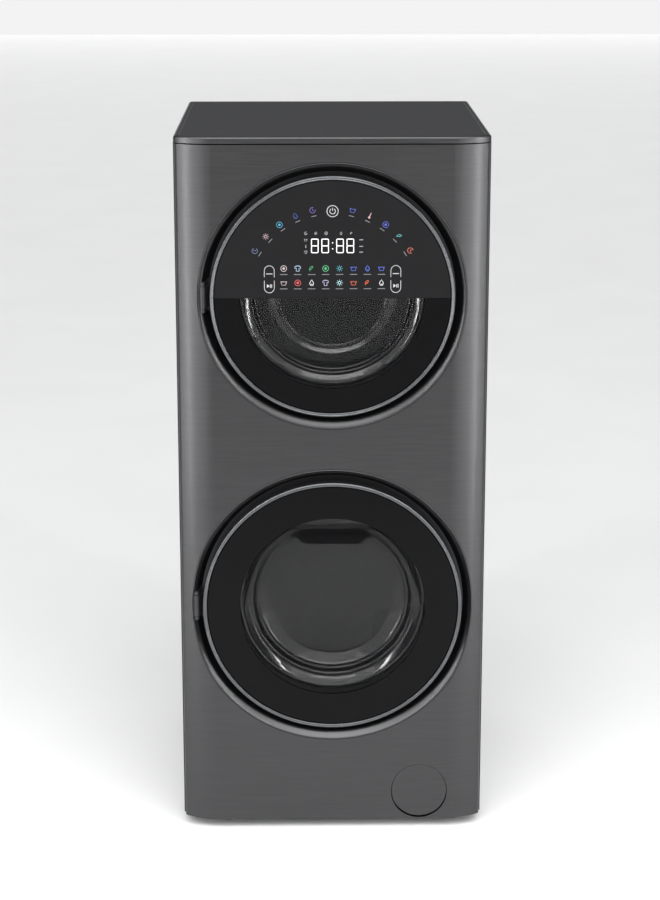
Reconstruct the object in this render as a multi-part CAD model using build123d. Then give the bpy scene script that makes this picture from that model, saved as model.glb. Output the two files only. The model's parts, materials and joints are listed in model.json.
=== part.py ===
"""Washer dryer stack: one tall cabinet with a dryer above a washer.

Millimetres, +Z up, front faces -Y. The origin is on the floor, at the middle of the width and the depth.
"""

import os
from math import cos, radians, sin, sqrt
from types import SimpleNamespace

from build123d import *

# Cabinet
WIDTH = 600.0
DEPTH = 605.0
HEIGHT = 1400.0
FOOT_HEIGHT = 20.0
SHEET = 1.2
RING_PROUD = 5.0
FRONT_Y = -DEPTH / 2 + RING_PROUD
BACK_Y = DEPTH / 2
COVER_HEIGHT = 13.0
COVER_SEAM = 2.5
PANEL_BOTTOM = FOOT_HEIGHT + 0.5
PANEL_TOP = HEIGHT - COVER_HEIGHT - COVER_SEAM
REAR_PANEL_Y = BACK_Y - 15.0
SHELF_Z = 790.0

# Plan of the front: a flat middle, then a wide sweep and a tight corner on each side
FRONT_HALF = WIDTH / 2 - 3.0
SWEEP_RADIUS = 114.0
CORNER_RADIUS = 10.0
SWEEP_ANGLE = 34.0
FRONT_SIDE_END = FRONT_Y + 35.5

# Door wells: cones that narrow towards a flat land
WELL_DEPTH = 37.5
WELL_TAPER = 20.0
LAND_Y = FRONT_Y + WELL_DEPTH
WELL_SHEET = 1.4

# Doors
RING_WIDTH = 8.5
DOOR_BACK_Y = LAND_Y - 6.0
GLASS_BACK_Y = -DEPTH / 2 + 6.5
GLASS_THICKNESS = 4.0
PIN_RADIUS = 3.0
PIN_FIT = 0.05
KNUCKLE_RADIUS = 6.0
KNUCKLE_HALF = 21.0
EAR_OUTER = 29.0
HOOK_INSET = 22.0

UPPER = SimpleNamespace(z=1093.0, well=257.0, ring=234.0, window=177.0, opening=198.0, clamp=194.0)
UPPER.hinge = (-247.0, -289.0)
UPPER.bowl = [(173, 0), (171, 3), (152, 17), (118, 24), (0, 27)]
LOWER = SimpleNamespace(z=473.0, well=279.0, ring=255.0, window=182.0, opening=214.0, clamp=200.0)
LOWER.hinge = (-267.0, -286.0)
LOWER.bowl = [(178, 0), (176, 3), (149, 28), (120, 37), (0, 43)]
BOWL_WALL = 5.0

# Washer
TUB_RADIUS = 256.0
TUB_WALL = 4.0
TUB_FRONT_Y = -200.0
TUB_SPLIT_Y = -60.0
TUB_BACK_Y = 176.0
DRUM_RADIUS = 240.0
DRUM_FRONT_Y = -185.0
DRUM_BACK_Y = 140.0
MOUTH_RADIUS = 168.0
SHAFT_RADIUS = 15.0
BEARING_RADIUS = 35.0
PULLEY_RADIUS = 140.0
MOTOR_PULLEY_RADIUS = 10.0
PULLEY_Y = 224.0
PULLEY_WIDTH = 14.0
WASHER_MOTOR = (70.0, 130.0)

# Dryer
DRYER_RADIUS = 245.0
DRYER_FRONT_Y = -190.0
DRYER_BACK_Y = 236.0
BULKHEAD_Y = -206.0
THROAT_RADIUS = 190.0
ROLLER_RADIUS = 20.0
ROLLER_ANGLE = 30.0
DRYER_MOTOR = (225.0, 845.0)
DRYER_PULLEY_RADIUS = 10.0
DRYER_BELT_Y = 100.0
FILTER_HALF = 90.0
FILTER_BOTTOM = UPPER.z - 300.0
FILTER_TOP = UPPER.z - 183.0

# Pump filter, at the bottom right
PUMP_X = 174.0
PUMP_Z = 81.0
COVER_RADIUS = 55.2
COVER_GAP = 0.9
COVER_THICKNESS = 2.2
COVER_SKIN = 0.8
COVER_PIN = (FRONT_Y + 2.4, PUMP_Z - COVER_RADIUS + 7.7)
COVER_PIN_RADIUS = 0.8
COVER_EAR_X = 14.5
COVER_DROP = 2.7

# Connections at the back
INLET_X = (-245.0, -185.0)
INLET_Z = 705.0
THREAD_RADIUS = 13.2
DRAIN_X = 230.0
DRAIN_Z = 705.0
DRAIN_RADIUS = 10.5
GLAND_X = -240.0
GLAND_Z = 620.0
GLAND_BORE = 4.5
BRACKET_SPAN = 400.0
BRACKET_Z = 1350.0
BRACKET_HOLE = 2.5

SCREW_RADIUS = 2.0
SCREW_HEAD = 4.5


def block(x0, x1, y0, y1, z0, z1):
    """Box between two corners."""
    return Pos((x0 + x1) / 2, (y0 + y1) / 2, (z0 + z1) / 2) * Box(x1 - x0, y1 - y0, z1 - z0)


def rod(start, end, radius):
    """Round bar between two points."""
    way = Vector(*end) - Vector(*start)
    return Part() + Solid.make_cylinder(radius, way.length, Plane(Vector(*start), z_dir=way))


def along_y(x, z, radius, y0, y1):
    """Round bar parallel to Y."""
    return rod((x, y0, z), (x, y1, z), radius)


def tube_y(x, z, outer, inner, y0, y1):
    """Tube parallel to Y."""
    return along_y(x, z, outer, y0, y1) - along_y(x, z, inner, y0 - 1, y1 + 1)


def upright(x, y, radius, z0, z1):
    """Round bar parallel to Z."""
    return rod((x, y, z0), (x, y, z1), radius)


def turned(points, z, x=0.0, soft=()):
    """Solid turned about a line along Y through x and z, from (radius, y) points.

    soft pairs a corner of the profile with the radius that rounds it.
    """
    face = make_face(Polyline(*points, close=True))
    for (corner_r, corner_y), radius in soft:
        corner = face.vertices().sort_by_distance((corner_r, corner_y, 0))[0]
        face = fillet(corner, radius)
    return Pos(x, 0, z) * revolve(face, Axis.Y, 360)


def group(solids):
    """Separate solids of like pieces that share a node."""
    return Compound(children=[solid for item in solids for solid in item.solids()])


def ring_places(count, radius, start=0.0):
    """Evenly spaced (x, z, angle) places on a circle about Y."""
    for index in range(count):
        angle = start + 360.0 * index / count
        yield radius * cos(radians(angle)), radius * sin(radians(angle)), angle


# ---------------------------------------------------------------- cabinet


def plan(inset, back):
    """Plan of the cabinet behind its front face, inset all round and ending at y = back."""
    sweep = SWEEP_RADIUS - inset
    tight = CORNER_RADIUS - inset
    reach = SWEEP_RADIUS - CORNER_RADIUS
    flat = FRONT_HALF - CORNER_RADIUS - reach * sin(radians(SWEEP_ANGLE))
    corner_x = FRONT_HALF - CORNER_RADIUS
    corner_y = FRONT_Y + SWEEP_RADIUS - reach * cos(radians(SWEEP_ANGLE))
    side = FRONT_HALF - inset
    front = FRONT_Y + inset
    edges = [Line((-flat, front), (flat, front))]
    edges += [CenterArc((flat, FRONT_Y + SWEEP_RADIUS), sweep, -90, SWEEP_ANGLE)]
    edges += [CenterArc((corner_x, corner_y), tight, SWEEP_ANGLE - 90, 90 - SWEEP_ANGLE)]
    edges += [Line((side, corner_y), (side, back)), Line((side, back), (-side, back))]
    edges += [Line((-side, back), (-side, corner_y))]
    edges += [CenterArc((-corner_x, corner_y), tight, 180, 90 - SWEEP_ANGLE)]
    edges += [CenterArc((-flat, FRONT_Y + SWEEP_RADIUS), sweep, 270 - SWEEP_ANGLE, SWEEP_ANGLE)]
    return make_face(edges)


def prism(face, z0, z1):
    """Upright extrusion of a plan."""
    return Pos(0, 0, z0) * extrude(face, z1 - z0)


def well_radius(door, y):
    """Radius of a door well's cone at a given depth."""
    return door.well - WELL_TAPER * (y - FRONT_Y) / WELL_DEPTH


def well_plug(door, grow):
    """Everything inside a door well's cone, as a cutter."""
    front = FRONT_Y - 12
    points = [(0, front), (well_radius(door, front) + grow, front)]
    points += [(well_radius(door, LAND_Y) + grow, LAND_Y), (0, LAND_Y)]
    return turned(points, door.z)


def front_panel():
    sheet = prism(plan(0, FRONT_SIDE_END), PANEL_BOTTOM, PANEL_TOP)
    sheet -= prism(plan(SHEET, FRONT_SIDE_END + 1), PANEL_BOTTOM - 1, PANEL_TOP + 1)
    lip = prism(plan(SHEET, FRONT_SIDE_END), 0, SHEET) & block(-WIDTH, WIDTH, FRONT_Y, FRONT_Y + 14, -1, 2)
    sheet += Pos(0, 0, PANEL_BOTTOM) * lip
    sheet += Pos(0, 0, PANEL_TOP - SHEET) * lip
    for door in (UPPER, LOWER):
        sheet -= well_plug(door, WELL_SHEET + 0.9)
    for z in (PUMP_Z, PUMP_Z - COVER_DROP):
        sheet -= along_y(PUMP_X, z, COVER_RADIUS + COVER_GAP, FRONT_Y - 5, FRONT_Y + 20)
    return sheet


def door_surround(door):
    """Conical well wall and the flat land that the door closes against."""
    front = FRONT_Y - 10
    outer, inner = well_radius(door, front), well_radius(door, LAND_Y)
    points = [(outer + WELL_SHEET, front), (outer, front), (inner, LAND_Y), (door.opening, LAND_Y)]
    points += [(door.opening, LAND_Y + WELL_SHEET), (inner + WELL_SHEET, LAND_Y + WELL_SHEET)]
    well = turned(points, door.z) & prism(plan(0, LAND_Y + 5), 0, HEIGHT)
    pin_x, pin_y = door.hinge
    half = EAR_OUTER + 4
    well -= block(pin_x - 8, pin_x + 14, pin_y - 8, LAND_Y + 5, door.z - half, door.z + half)
    hook_x = door.ring - HOOK_INSET
    well -= block(hook_x - 11, hook_x + 13, LAND_Y - 5, LAND_Y + 5, door.z - 9, door.z + 9)
    return well.solids().sort_by(SortBy.VOLUME)[-1]


def side_panel(side):
    """Outer wall with a flange in front and a hemmed return that the rear panel screws to."""
    wall, inner, flange = WIDTH / 2, WIDTH / 2 - SHEET, WIDTH / 2 - 18
    front = FRONT_SIDE_END + 1.0
    outline = [(wall, front), (wall, BACK_Y), (inner - SHEET, BACK_Y), (inner - SHEET, REAR_PANEL_Y)]
    outline += [(flange, REAR_PANEL_Y), (flange, REAR_PANEL_Y - SHEET), (inner, REAR_PANEL_Y - SHEET)]
    outline += [(inner, front + SHEET), (flange, front + SHEET), (flange, front)]
    face = make_face(Polyline(*[(side * x, y) for x, y in outline], close=True))
    panel = prism(face, FOOT_HEIGHT, HEIGHT - COVER_HEIGHT)
    for x, z in rear_screw_places():
        if x * side > FRONT_HALF - 20:
            panel -= along_y(x, z, SCREW_RADIUS + 0.1, REAR_PANEL_Y - 5, REAR_PANEL_Y + 5)
    return panel


def rear_screw_places():
    """Screws down both sides of the rear panel."""
    for z in range(80, 1361, 160):
        for x in (-288.0, 288.0):
            yield x, float(z)


def service_screw_places():
    """Screws round the service cover."""
    for x in (-178.0, 0.0, 178.0):
        for z in (300.0, 646.0):
            yield x, z


def rear_panel():
    half = WIDTH / 2 - 2 * SHEET - 0.3
    top = HEIGHT - COVER_HEIGHT - 2
    panel = block(-half, half, REAR_PANEL_Y, REAR_PANEL_Y + SHEET, FOOT_HEIGHT + 12, top)
    panel -= block(-165, 165, REAR_PANEL_Y - 5, REAR_PANEL_Y + 5, 312, 634)
    for row in range(12):
        for column in range(3):
            x, z = -120 + 120 * column, 985 + 18 * row
            slot = extrude(Plane.XZ * SlotOverall(90, 6), 5, both=True)
            panel -= Pos(x, REAR_PANEL_Y, z) * slot
    holes = [(x, INLET_Z, THREAD_RADIUS + 0.6) for x in INLET_X]
    holes += [(DRAIN_X, DRAIN_Z, DRAIN_RADIUS + 0.6), (GLAND_X, GLAND_Z, 9.2)]
    holes += [(x, BRACKET_Z, BRACKET_HOLE) for x in (-BRACKET_SPAN / 2, BRACKET_SPAN / 2)]
    holes += [(x, z, SCREW_RADIUS + 0.1) for x, z in [*rear_screw_places(), *service_screw_places()]]
    for x, z, radius in holes:
        panel -= along_y(x, z, radius, REAR_PANEL_Y - 5, REAR_PANEL_Y + 5)
    return panel


def rear_service_cover():
    """Pressed cover over the washer's belt drive."""
    y0 = REAR_PANEL_Y + SHEET
    cover = block(-190, 190, y0, y0 + SHEET, 288, 658)
    raised = fillet(block(-150, 150, y0, y0 + 7, 328, 618).edges().group_by(Axis.Y)[-1], 5)
    hollow = block(-150 + SHEET, 150 - SHEET, y0 - 5, y0 + 7 - SHEET, 328 + SHEET, 618 - SHEET)
    cover = (cover + raised) - hollow
    for x, z in service_screw_places():
        cover -= along_y(x, z, SCREW_RADIUS + 0.1, y0 - 5, y0 + 5)
    return cover


def panel_screws():
    """Flanged screws of the rear panel and of its service cover."""
    screws = []
    places = [(x, z, REAR_PANEL_Y + SHEET) for x, z in rear_screw_places()]
    places += [(x, z, REAR_PANEL_Y + 2 * SHEET) for x, z in service_screw_places()]
    for x, z, y in places:
        head = along_y(x, z, SCREW_HEAD, y, y + 1.2) + along_y(x, z, 3.2, y + 1.2, y + 3.4)
        screws.append(head + along_y(x, z, SCREW_RADIUS, y - 9, y))
    return group(screws)


def top_cover():
    """Folded cover whose front follows the cabinet's swept corners."""
    rim = plan(-2.0, BACK_Y)
    rim = fillet(rim.vertices().group_by(Axis.Y)[-1], 12)
    base = HEIGHT - COVER_HEIGHT
    slab = prism(rim, base, HEIGHT)
    slab = fillet(slab.edges().group_by(Axis.Z)[-1], 4.5)
    return slab - prism(plan(SHEET, BACK_Y - 3), base - 1, HEIGHT - 1.6)


def base_tray():
    """Pan with an upstand all round and a threaded boss over each foot."""
    floor = FOOT_HEIGHT + 3.0
    pan = block(-280, 280, -250, 282, floor, floor + 36)
    pan -= block(-278.5, 278.5, -248.5, 280.5, floor + 1.5, floor + 60)
    for x, y in foot_places():
        pan += upright(x, y, 14, floor + 1.5, floor + 24)
        pan -= upright(x, y, 5.05, floor - 1, floor + 30)
    for side in (-1, 1):
        for y in (-120.0, 90.0):
            pan += block(side * 232 - 9, side * 232 + 9, y - 12, y + 12, floor + 1.5, floor + 12)
    pan -= block(PUMP_X - 62, PUMP_X + 62, -260, -240, floor + 3, floor + 40)
    pan += block(WASHER_MOTOR[0] - 50, WASHER_MOTOR[0] + 50, 60, 190, floor + 1.5, floor + 14)
    return pan


def foot_places():
    """The four corners that stand on the floor."""
    for x in (-235.0, 235.0):
        for y in (-205.0, 240.0):
            yield x, y


def levelling_feet():
    """Threaded feet, each with its lock nut."""
    feet = []
    for x, y in foot_places():
        pad = fillet(upright(x, y, 22, 0, 9).edges().group_by(Axis.Z)[-1], 3)
        feet.append(pad + upright(x, y, 5, 9, 62))
        nut = prism(Pos(x, y) * RegularPolygon(9.5, 6), 14, 20) - upright(x, y, 5.05, 10, 30)
        feet.append(nut)
    return group(feet)


def mid_shelf():
    """Shelf that carries the dryer, with a fold down each side."""
    shelf = block(-297.5, 297.5, -245, 284, SHELF_Z - 1.5, SHELF_Z)
    for side in (-1, 1):
        shelf += block(side * 296.5 - 1, side * 296.5 + 1, -245, 284, SHELF_Z - 30, SHELF_Z - 1.5)
    return shelf


# ---------------------------------------------------------------- doors


def door_ring(door):
    """Satin trim ring with softly rounded lips."""
    front, back = -DEPTH / 2, GLASS_BACK_Y - 0.5
    inner, outer = door.ring - RING_WIDTH, door.ring
    points = [(inner, front), (outer, front), (outer, back), (inner, back)]
    return turned(points, door.z, soft=[((inner, front), 1.6), ((outer, front), 3.0)])


def door_glass(door):
    """Front glass, slightly domed, that fills the ring."""
    edge = door.ring - RING_WIDTH - 0.25
    front = GLASS_BACK_Y - GLASS_THICKNESS
    points = [(0, GLASS_BACK_Y), (edge, GLASS_BACK_Y), (edge, front), (0, front)]
    return turned(points, door.z, soft=[((edge, front), 1.5)])


def door_frame(door):
    """Moulded tray behind the ring: tapered outer wall, back plate and a sleeve round the window."""
    rim, back, front = door.ring - 1.0, DOOR_BACK_Y, GLASS_BACK_Y - 0.5
    taper = 12.0
    points = [(rim, front), (rim, front + 11), (rim - taper, back), (door.window + 3, back)]
    points += [(door.window + 3, GLASS_BACK_Y), (door.window + 6, GLASS_BACK_Y)]
    points += [(door.window + 6, back - 3), (rim - taper - 2, back - 3), (rim - 3, front + 10)]
    points += [(rim - 3, front)]
    frame = turned(points, door.z)
    hook_x = door.ring - HOOK_INSET
    return frame - block(hook_x - 9, hook_x + 11, back - 5, back + 5, door.z - 8, door.z + 8)


def door_inner_frame(door):
    """Ring that clamps the bowl's flange to the door frame."""
    back, flange = DOOR_BACK_Y, door.bowl[0][0] + 12
    outer = door.clamp
    points = [(flange + 0.2, back), (outer, back), (outer, back + 9), (outer - 4, back + 13)]
    points += [(door.bowl[0][0] + 5, back + 13), (door.bowl[0][0] + 5, back + 4), (flange + 0.2, back + 4)]
    return turned(points, door.z)


def door_bowl(door):
    """Pressed glass bowl that bulges into the drum's mouth."""
    back = DOOR_BACK_Y
    inside = [(radius, back + depth) for radius, depth in door.bowl]
    outside = [(radius + BOWL_WALL * 0.7, y + BOWL_WALL * 0.7) for radius, y in inside[1:-1]]
    outside += [(0, inside[-1][1] + BOWL_WALL)]
    flange = door.bowl[0][0] + 12
    root = (door.bowl[0][0] + 4, back + 4)
    points = inside + outside[::-1] + [root, (flange, back + 4), (flange, back)]
    soft = [(inside[2], 9), (inside[3], 30), (outside[1], 14), (outside[2], 34)]
    return turned(points, door.z, soft=soft)


def hinge_arm(door):
    """Swan-neck arm: a knuckle on the pin and a plate on the door's back."""
    x, y = door.hinge
    back = DOOR_BACK_Y - y
    end = -x - door.opening + 2
    outline = [(-4, 2), (3, -4), (19, back), (end, back), (end, back + 4), (14, back + 4)]
    web = make_face(Polyline(*[(x + u, y + v) for u, v in outline], close=True))
    arm = prism(web, door.z - KNUCKLE_HALF + 1, door.z + KNUCKLE_HALF - 1)
    arm += upright(x, y, KNUCKLE_RADIUS, door.z - KNUCKLE_HALF, door.z + KNUCKLE_HALF)
    return arm - upright(x, y, PIN_RADIUS + PIN_FIT, door.z - 40, door.z + 40)


def hinge_bracket(door):
    """Plate behind the well's land with two ears, and the pin that they hold."""
    x, y = door.hinge
    plate_y = LAND_Y + WELL_SHEET
    bracket = block(x - 6, x + 46, plate_y, plate_y + 3, door.z - 40, door.z + 40)
    for side in (-1, 1):
        low, high = sorted((side * (KNUCKLE_HALF + 1), side * EAR_OUTER))
        bracket += block(x - 5, x + 5, y, plate_y, door.z + low, door.z + high)
        bracket += upright(x, y, 5, door.z + low, door.z + high)
    bracket -= upright(x, y, PIN_RADIUS, door.z - 40, door.z + 40)
    return [bracket, upright(x, y, PIN_RADIUS, door.z - EAR_OUTER - 1, door.z + EAR_OUTER + 1)]


def door_hook(door):
    """Latch hook that turns on a short barrel inside the door frame."""
    x = door.ring - HOOK_INSET
    y = DOOR_BACK_Y - 10
    outline = [(-3, 0), (3, 0), (3, 32), (8, 35), (3, 43), (-3, 43)]
    stem = make_face(Polyline(*[(x + u, y + v) for u, v in outline], close=True))
    return prism(stem, door.z - 5, door.z + 5) + upright(x, y, 5, door.z - 6, door.z + 6)


def door_lock(door):
    """Lock body behind the land, open in front for the hook."""
    x, y = door.ring - HOOK_INSET, LAND_Y + WELL_SHEET
    lock = block(x - 15, x + 24, y, y + 38, door.z - 32, door.z + 32)
    return lock - block(x - 9, x + 13, y - 1, y + 28, door.z - 9, door.z + 9)


def half_disc(shape, door, above):
    """The part of a door's face above or below the panel's lower edge."""
    low, high = (door.z + 0.2, door.z + 400) if above else (door.z - 400, door.z - 0.2)
    return shape & block(-400, 400, -400, 0, low, high)


def control_board():
    """Circuit board with the display module, behind the control panel."""
    y = GLASS_BACK_Y
    board = block(-120, 120, y + 4, y + 5.6, UPPER.z + 12, UPPER.z + 120)
    display = block(-48, 48, y, y + 4, UPPER.z + 68, UPPER.z + 112)
    board += display
    for x in (-85.0, 85.0):
        board += block(x - 14, x + 14, y + 5.6, y + 16, UPPER.z + 30, UPPER.z + 60)
    return board


# ---------------------------------------------------------------- washer


def washer_gasket():
    """Rubber bellows between the well's land and the tub's collar."""
    y = LAND_Y + WELL_SHEET
    outer = [(213, y), (213, y + 6), (199, y + 10), (199, y + 17), (208, y + 24), (208, y + 30)]
    outer += [(193, y + 36), (193, TUB_FRONT_Y)]
    inner = [(189.6, TUB_FRONT_Y), (189.6, y + 34), (204, y + 28), (204, y + 26), (195, y + 19)]
    inner += [(197, y + 8), (203, y)]
    return turned(outer + inner, LOWER.z)


def tub_front():
    rim, wall = TUB_RADIUS + TUB_WALL, 5.0
    points = [(183, TUB_FRONT_Y - 16), (189, TUB_FRONT_Y - 16), (189, TUB_FRONT_Y), (rim, TUB_FRONT_Y)]
    points += [(rim, TUB_SPLIT_Y - 8), (rim + 7, TUB_SPLIT_Y - 8), (rim + 7, TUB_SPLIT_Y)]
    points += [(TUB_RADIUS, TUB_SPLIT_Y), (TUB_RADIUS, TUB_FRONT_Y + wall), (183, TUB_FRONT_Y + wall)]
    return turned(points, LOWER.z, soft=[((rim, TUB_FRONT_Y), 14), ((TUB_RADIUS, TUB_FRONT_Y + wall), 10)])


def tub_rear():
    """Rear half with its hub, ribs and the bore that holds the bearings."""
    rim = TUB_RADIUS + TUB_WALL
    points = [(BEARING_RADIUS, TUB_BACK_Y - 6), (TUB_RADIUS, TUB_BACK_Y - 6), (TUB_RADIUS, TUB_SPLIT_Y)]
    points += [(rim + 7, TUB_SPLIT_Y), (rim + 7, TUB_SPLIT_Y + 8), (rim, TUB_SPLIT_Y + 8)]
    points += [(rim, TUB_BACK_Y), (46, TUB_BACK_Y), (46, TUB_BACK_Y + 38), (BEARING_RADIUS, TUB_BACK_Y + 38)]
    tub = turned(points, LOWER.z, soft=[((rim, TUB_BACK_Y), 14), ((TUB_RADIUS, TUB_BACK_Y - 6), 10)])
    rib = block(45, rim - 12, -2.5, 2.5, 0, 14)
    rib = Rotation(-90, 0, 0) * rib
    for _, _, angle in ring_places(12, 1.0):
        tub += Pos(0, TUB_BACK_Y, LOWER.z) * (Rotation(0, angle, 0) * rib)
    return tub


def drum_shell(z, radius, front, back, mouth, wall):
    """Sheet drum with a rolled mouth and a flat back."""
    points = [(mouth, front), (radius, front), (radius, back), (0, back), (0, back - wall)]
    points += [(radius - wall, back - wall), (radius - wall, front + wall), (mouth, front + wall)]
    soft = [((radius, front), 12), ((radius, back), 12)]
    soft += [((radius - wall, front + wall), 12 - wall), ((radius - wall, back - wall), 12 - wall)]
    return turned(points, z, soft=soft)


def lifters(z, radius, front, back, height):
    """Three ribs that lift the laundry, seated on the drum wall."""
    solids = []
    outline = [(-32, 6), (32, 6), (20, -height * 0.55), (9, -height), (-9, -height), (-20, -height * 0.55)]
    for _, _, angle in ring_places(3, 1.0, 30.0):
        face = Plane.XZ * make_face(Polyline(*[(u, radius + v) for u, v in outline], close=True))
        bar = Pos(0, back, 0) * extrude(face, back - front)
        bar = bar & along_y(0, 0, radius, front - 5, back + 5)
        solids.append(Pos(0, 0, z) * (Rotation(0, angle, 0) * bar))
    return solids


def drum_spider():
    """Three-armed cast spider with the shaft cast into its hub."""
    y = DRUM_BACK_Y
    spider = along_y(0, LOWER.z, 34, y, y + 26)
    arm = block(20, DRUM_RADIUS - 16, 0, 14, -13, 13)
    for _, _, angle in ring_places(3, 1.0, 90.0):
        spider += Pos(0, y, LOWER.z) * (Rotation(0, angle, 0) * arm)
    spider -= along_y(0, LOWER.z, SHAFT_RADIUS, y - 1, y + 40)
    return group([spider, along_y(0, LOWER.z, SHAFT_RADIUS, y, PULLEY_Y + PULLEY_WIDTH + 4)])


def shaft_bearings():
    """Two ball bearings in the tub's hub and one on the rear panel for the dryer's drum."""
    bore = SHAFT_RADIUS + PIN_FIT
    rings = [tube_y(0, LOWER.z, BEARING_RADIUS, bore, y, y + 14) for y in (TUB_BACK_Y, TUB_BACK_Y + 22)]
    rings.append(tube_y(0, UPPER.z, 32, 10 + PIN_FIT, DRYER_BACK_Y + 14, REAR_PANEL_Y))
    return group(rings)


def belt_pulley(x, z, radius, bore, y0, y1, spokes):
    """Pulley with a rim, spokes and a hub."""
    pulley = tube_y(x, z, radius, radius - 7, y0, y1)
    pulley += tube_y(x, z, bore + 10, bore, y0, y1)
    spoke = Pos(0, (y0 + y1) / 2, 0) * Box(radius - bore - 13, 8, 16)
    for dx, dz, angle in ring_places(spokes, (radius + bore + 2) / 2):
        pulley += Pos(x + dx, 0, z + dz) * (Rotation(0, -angle, 0) * spoke)
    return pulley


def flat_belt(centre_a, radius_a, centre_b, radius_b, y0, y1):
    """Taut belt round two pulleys."""

    def hull(grow):
        ax, az = centre_a
        bx, bz = centre_b
        ra, rb = radius_a + grow, radius_b + grow
        span = sqrt((bx - ax) ** 2 + (bz - az) ** 2)
        along = Vector((bx - ax) / span, 0, (bz - az) / span)
        across = Vector(-along.Z, 0, along.X)
        lean = (ra - rb) / span
        rise = sqrt(1 - lean**2)
        corners = []
        for side in (1, -1):
            way = along * lean + across * (side * rise)
            corners.append((Vector(ax, y0, az) + way * ra, Vector(bx, y0, bz) + way * rb))
        (a0, b0), (a1, b1) = corners
        face = make_face(Polyline(a0, b0, b1, a1, close=True))
        body = extrude(face, y1 - y0, dir=(0, 1, 0))
        return body + along_y(ax, az, ra, y0, y1) + along_y(bx, bz, rb, y0, y1)

    return hull(3.3) - hull(0.3)


def washer_belt():
    y = PULLEY_Y + 1.5
    return flat_belt((0, LOWER.z), PULLEY_RADIUS, WASHER_MOTOR, MOTOR_PULLEY_RADIUS, y, y + 10.5)


def dryer_belt():
    y = DRYER_BELT_Y
    return flat_belt((0, UPPER.z), DRYER_RADIUS, DRYER_MOTOR, DRYER_PULLEY_RADIUS, y, y + 7)


def washer_motor():
    """Motor can with end shields and two mounting feet."""
    x, z = WASHER_MOTOR
    motor = along_y(x, z, 62, 60, 190) + along_y(x, z, 54, 48, 202)
    motor += block(x - 48, x + 48, 78, 172, FOOT_HEIGHT + 17, z - 40)
    return motor - along_y(x, z, 6 + PIN_FIT, 170, 210)


def motor_pulley(x, z, radius, shaft, start, y0, y1):
    """Small grooved pulley on its motor's shaft."""
    wheel = along_y(x, z, radius, y0, y1)
    for y in (y0, y1 - 1.5):
        wheel += along_y(x, z, radius + 2.5, y, y + 1.5)
    return wheel + along_y(x, z, shaft, start, y1 + 3)


def tub_springs():
    """Four coil springs that hang the tub from the shelf, each between two seats."""
    solids = []
    wire, radius, pitch, turns = 1.8, 11.0, 9.0, 6
    for x in (-172.0, 172.0):
        for y in (-30.0, 110.0):
            lug = LOWER.z + sqrt((TUB_RADIUS + TUB_WALL) ** 2 - x**2) + 14
            coil = Helix(pitch, pitch * turns, radius, center=(x, y, lug + 4 + wire))
            start = Plane(coil @ 0, z_dir=coil % 0)
            solids.append(sweep(start * Circle(wire), path=coil))
            top = lug + 4 + 2 * wire + pitch * turns
            foot = upright(x, y, 4, lug - 20, lug) - along_y(0, LOWER.z, TUB_RADIUS + TUB_WALL, y - 9, y + 9)
            solids.append(upright(x, y, 15, lug, lug + 4) + foot)
            solids.append(upright(x, y, 15, top, top + 4) + upright(x, y, 4, top + 4, SHELF_Z - 1.5))
    return solids


def tub_dampers():
    """Four friction dampers between the tub and the base."""
    solids = []
    for side in (-1, 1):
        for y in (-120.0, 90.0):
            low = Vector(side * 232, y, FOOT_HEIGHT + 24)
            high = Vector(side * 204, y, LOWER.z - 178)
            way = (high - low).normalized()
            tube_end, rod_end = low + way * 120, low + way * 150
            barrel = rod(low + way * 6, tube_end, 15) - rod(low + way * 40, rod_end, 7.1)
            solids.append(barrel + rod((low.X - 8, y, low.Z), (low.X + 8, y, low.Z), 7))
            solids.append(rod(low + way * 42, high - way * 14, 7))
    return solids


def counterweights():
    """Cast blocks: a collar in front of the tub and a saddle on top."""
    rim = TUB_RADIUS + TUB_WALL
    collar = tube_y(0, LOWER.z, 250, 196, TUB_FRONT_Y - 12, TUB_FRONT_Y)
    collar -= block(-400, 400, -400, 0, LOWER.z - 60, LOWER.z + 60)
    saddle = block(-120, 120, -40, 100, LOWER.z + 200, SHELF_Z - 22) - along_y(0, LOWER.z, rim, -200, 200)
    return group([collar, saddle])


def heater():
    """Bent heating rod in the gap under the drum, with its flange on the tub's front."""
    z = LOWER.z - (DRUM_RADIUS + TUB_RADIUS) / 2
    path = FilletPolyline((-12, -150, z), (-12, 60, z), (12, 60, z), (12, -150, z), radius=11.5)
    return sweep(Plane(path @ 0, z_dir=path % 0) * Circle(3.5), path=path)


def drain_pump():
    """Filter housing behind the front, pump body and its motor."""
    housing = tube_y(PUMP_X, PUMP_Z, 36, 31, FRONT_Y + 12, -190)
    housing += along_y(PUMP_X, PUMP_Z, 36, -190, -182)
    housing += along_y(PUMP_X, PUMP_Z, 27, -182, -110)
    spout = rod((PUMP_X, -200, PUMP_Z + 30), (PUMP_X, -200, PUMP_Z + 62), 12)
    spout -= rod((PUMP_X, -200, PUMP_Z + 40), (PUMP_X, -200, PUMP_Z + 70), 9)
    housing += spout
    housing -= along_y(PUMP_X, PUMP_Z, 31, FRONT_Y + 5, -190)
    housing += block(PUMP_X - 20, PUMP_X + 20, -180, -112, FOOT_HEIGHT + 4.5, PUMP_Z - 20)
    return housing


def pump_filter():
    """Round plug with a grip bar and a slotted strainer."""
    y = FRONT_Y + 14
    plug = along_y(PUMP_X, PUMP_Z, 30.7, y, y + 12)
    plug += block(PUMP_X - 24, PUMP_X + 24, y - 9, y, PUMP_Z - 4, PUMP_Z + 4)
    strainer = tube_y(PUMP_X, PUMP_Z, 25, 22.5, y + 12, y + 72)
    for index in range(6):
        slot = Pos(PUMP_X, y + 42, PUMP_Z) * (Rotation(0, 30 * index, 0) * Box(60, 44, 6))
        strainer -= slot
    return plug + strainer


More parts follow.
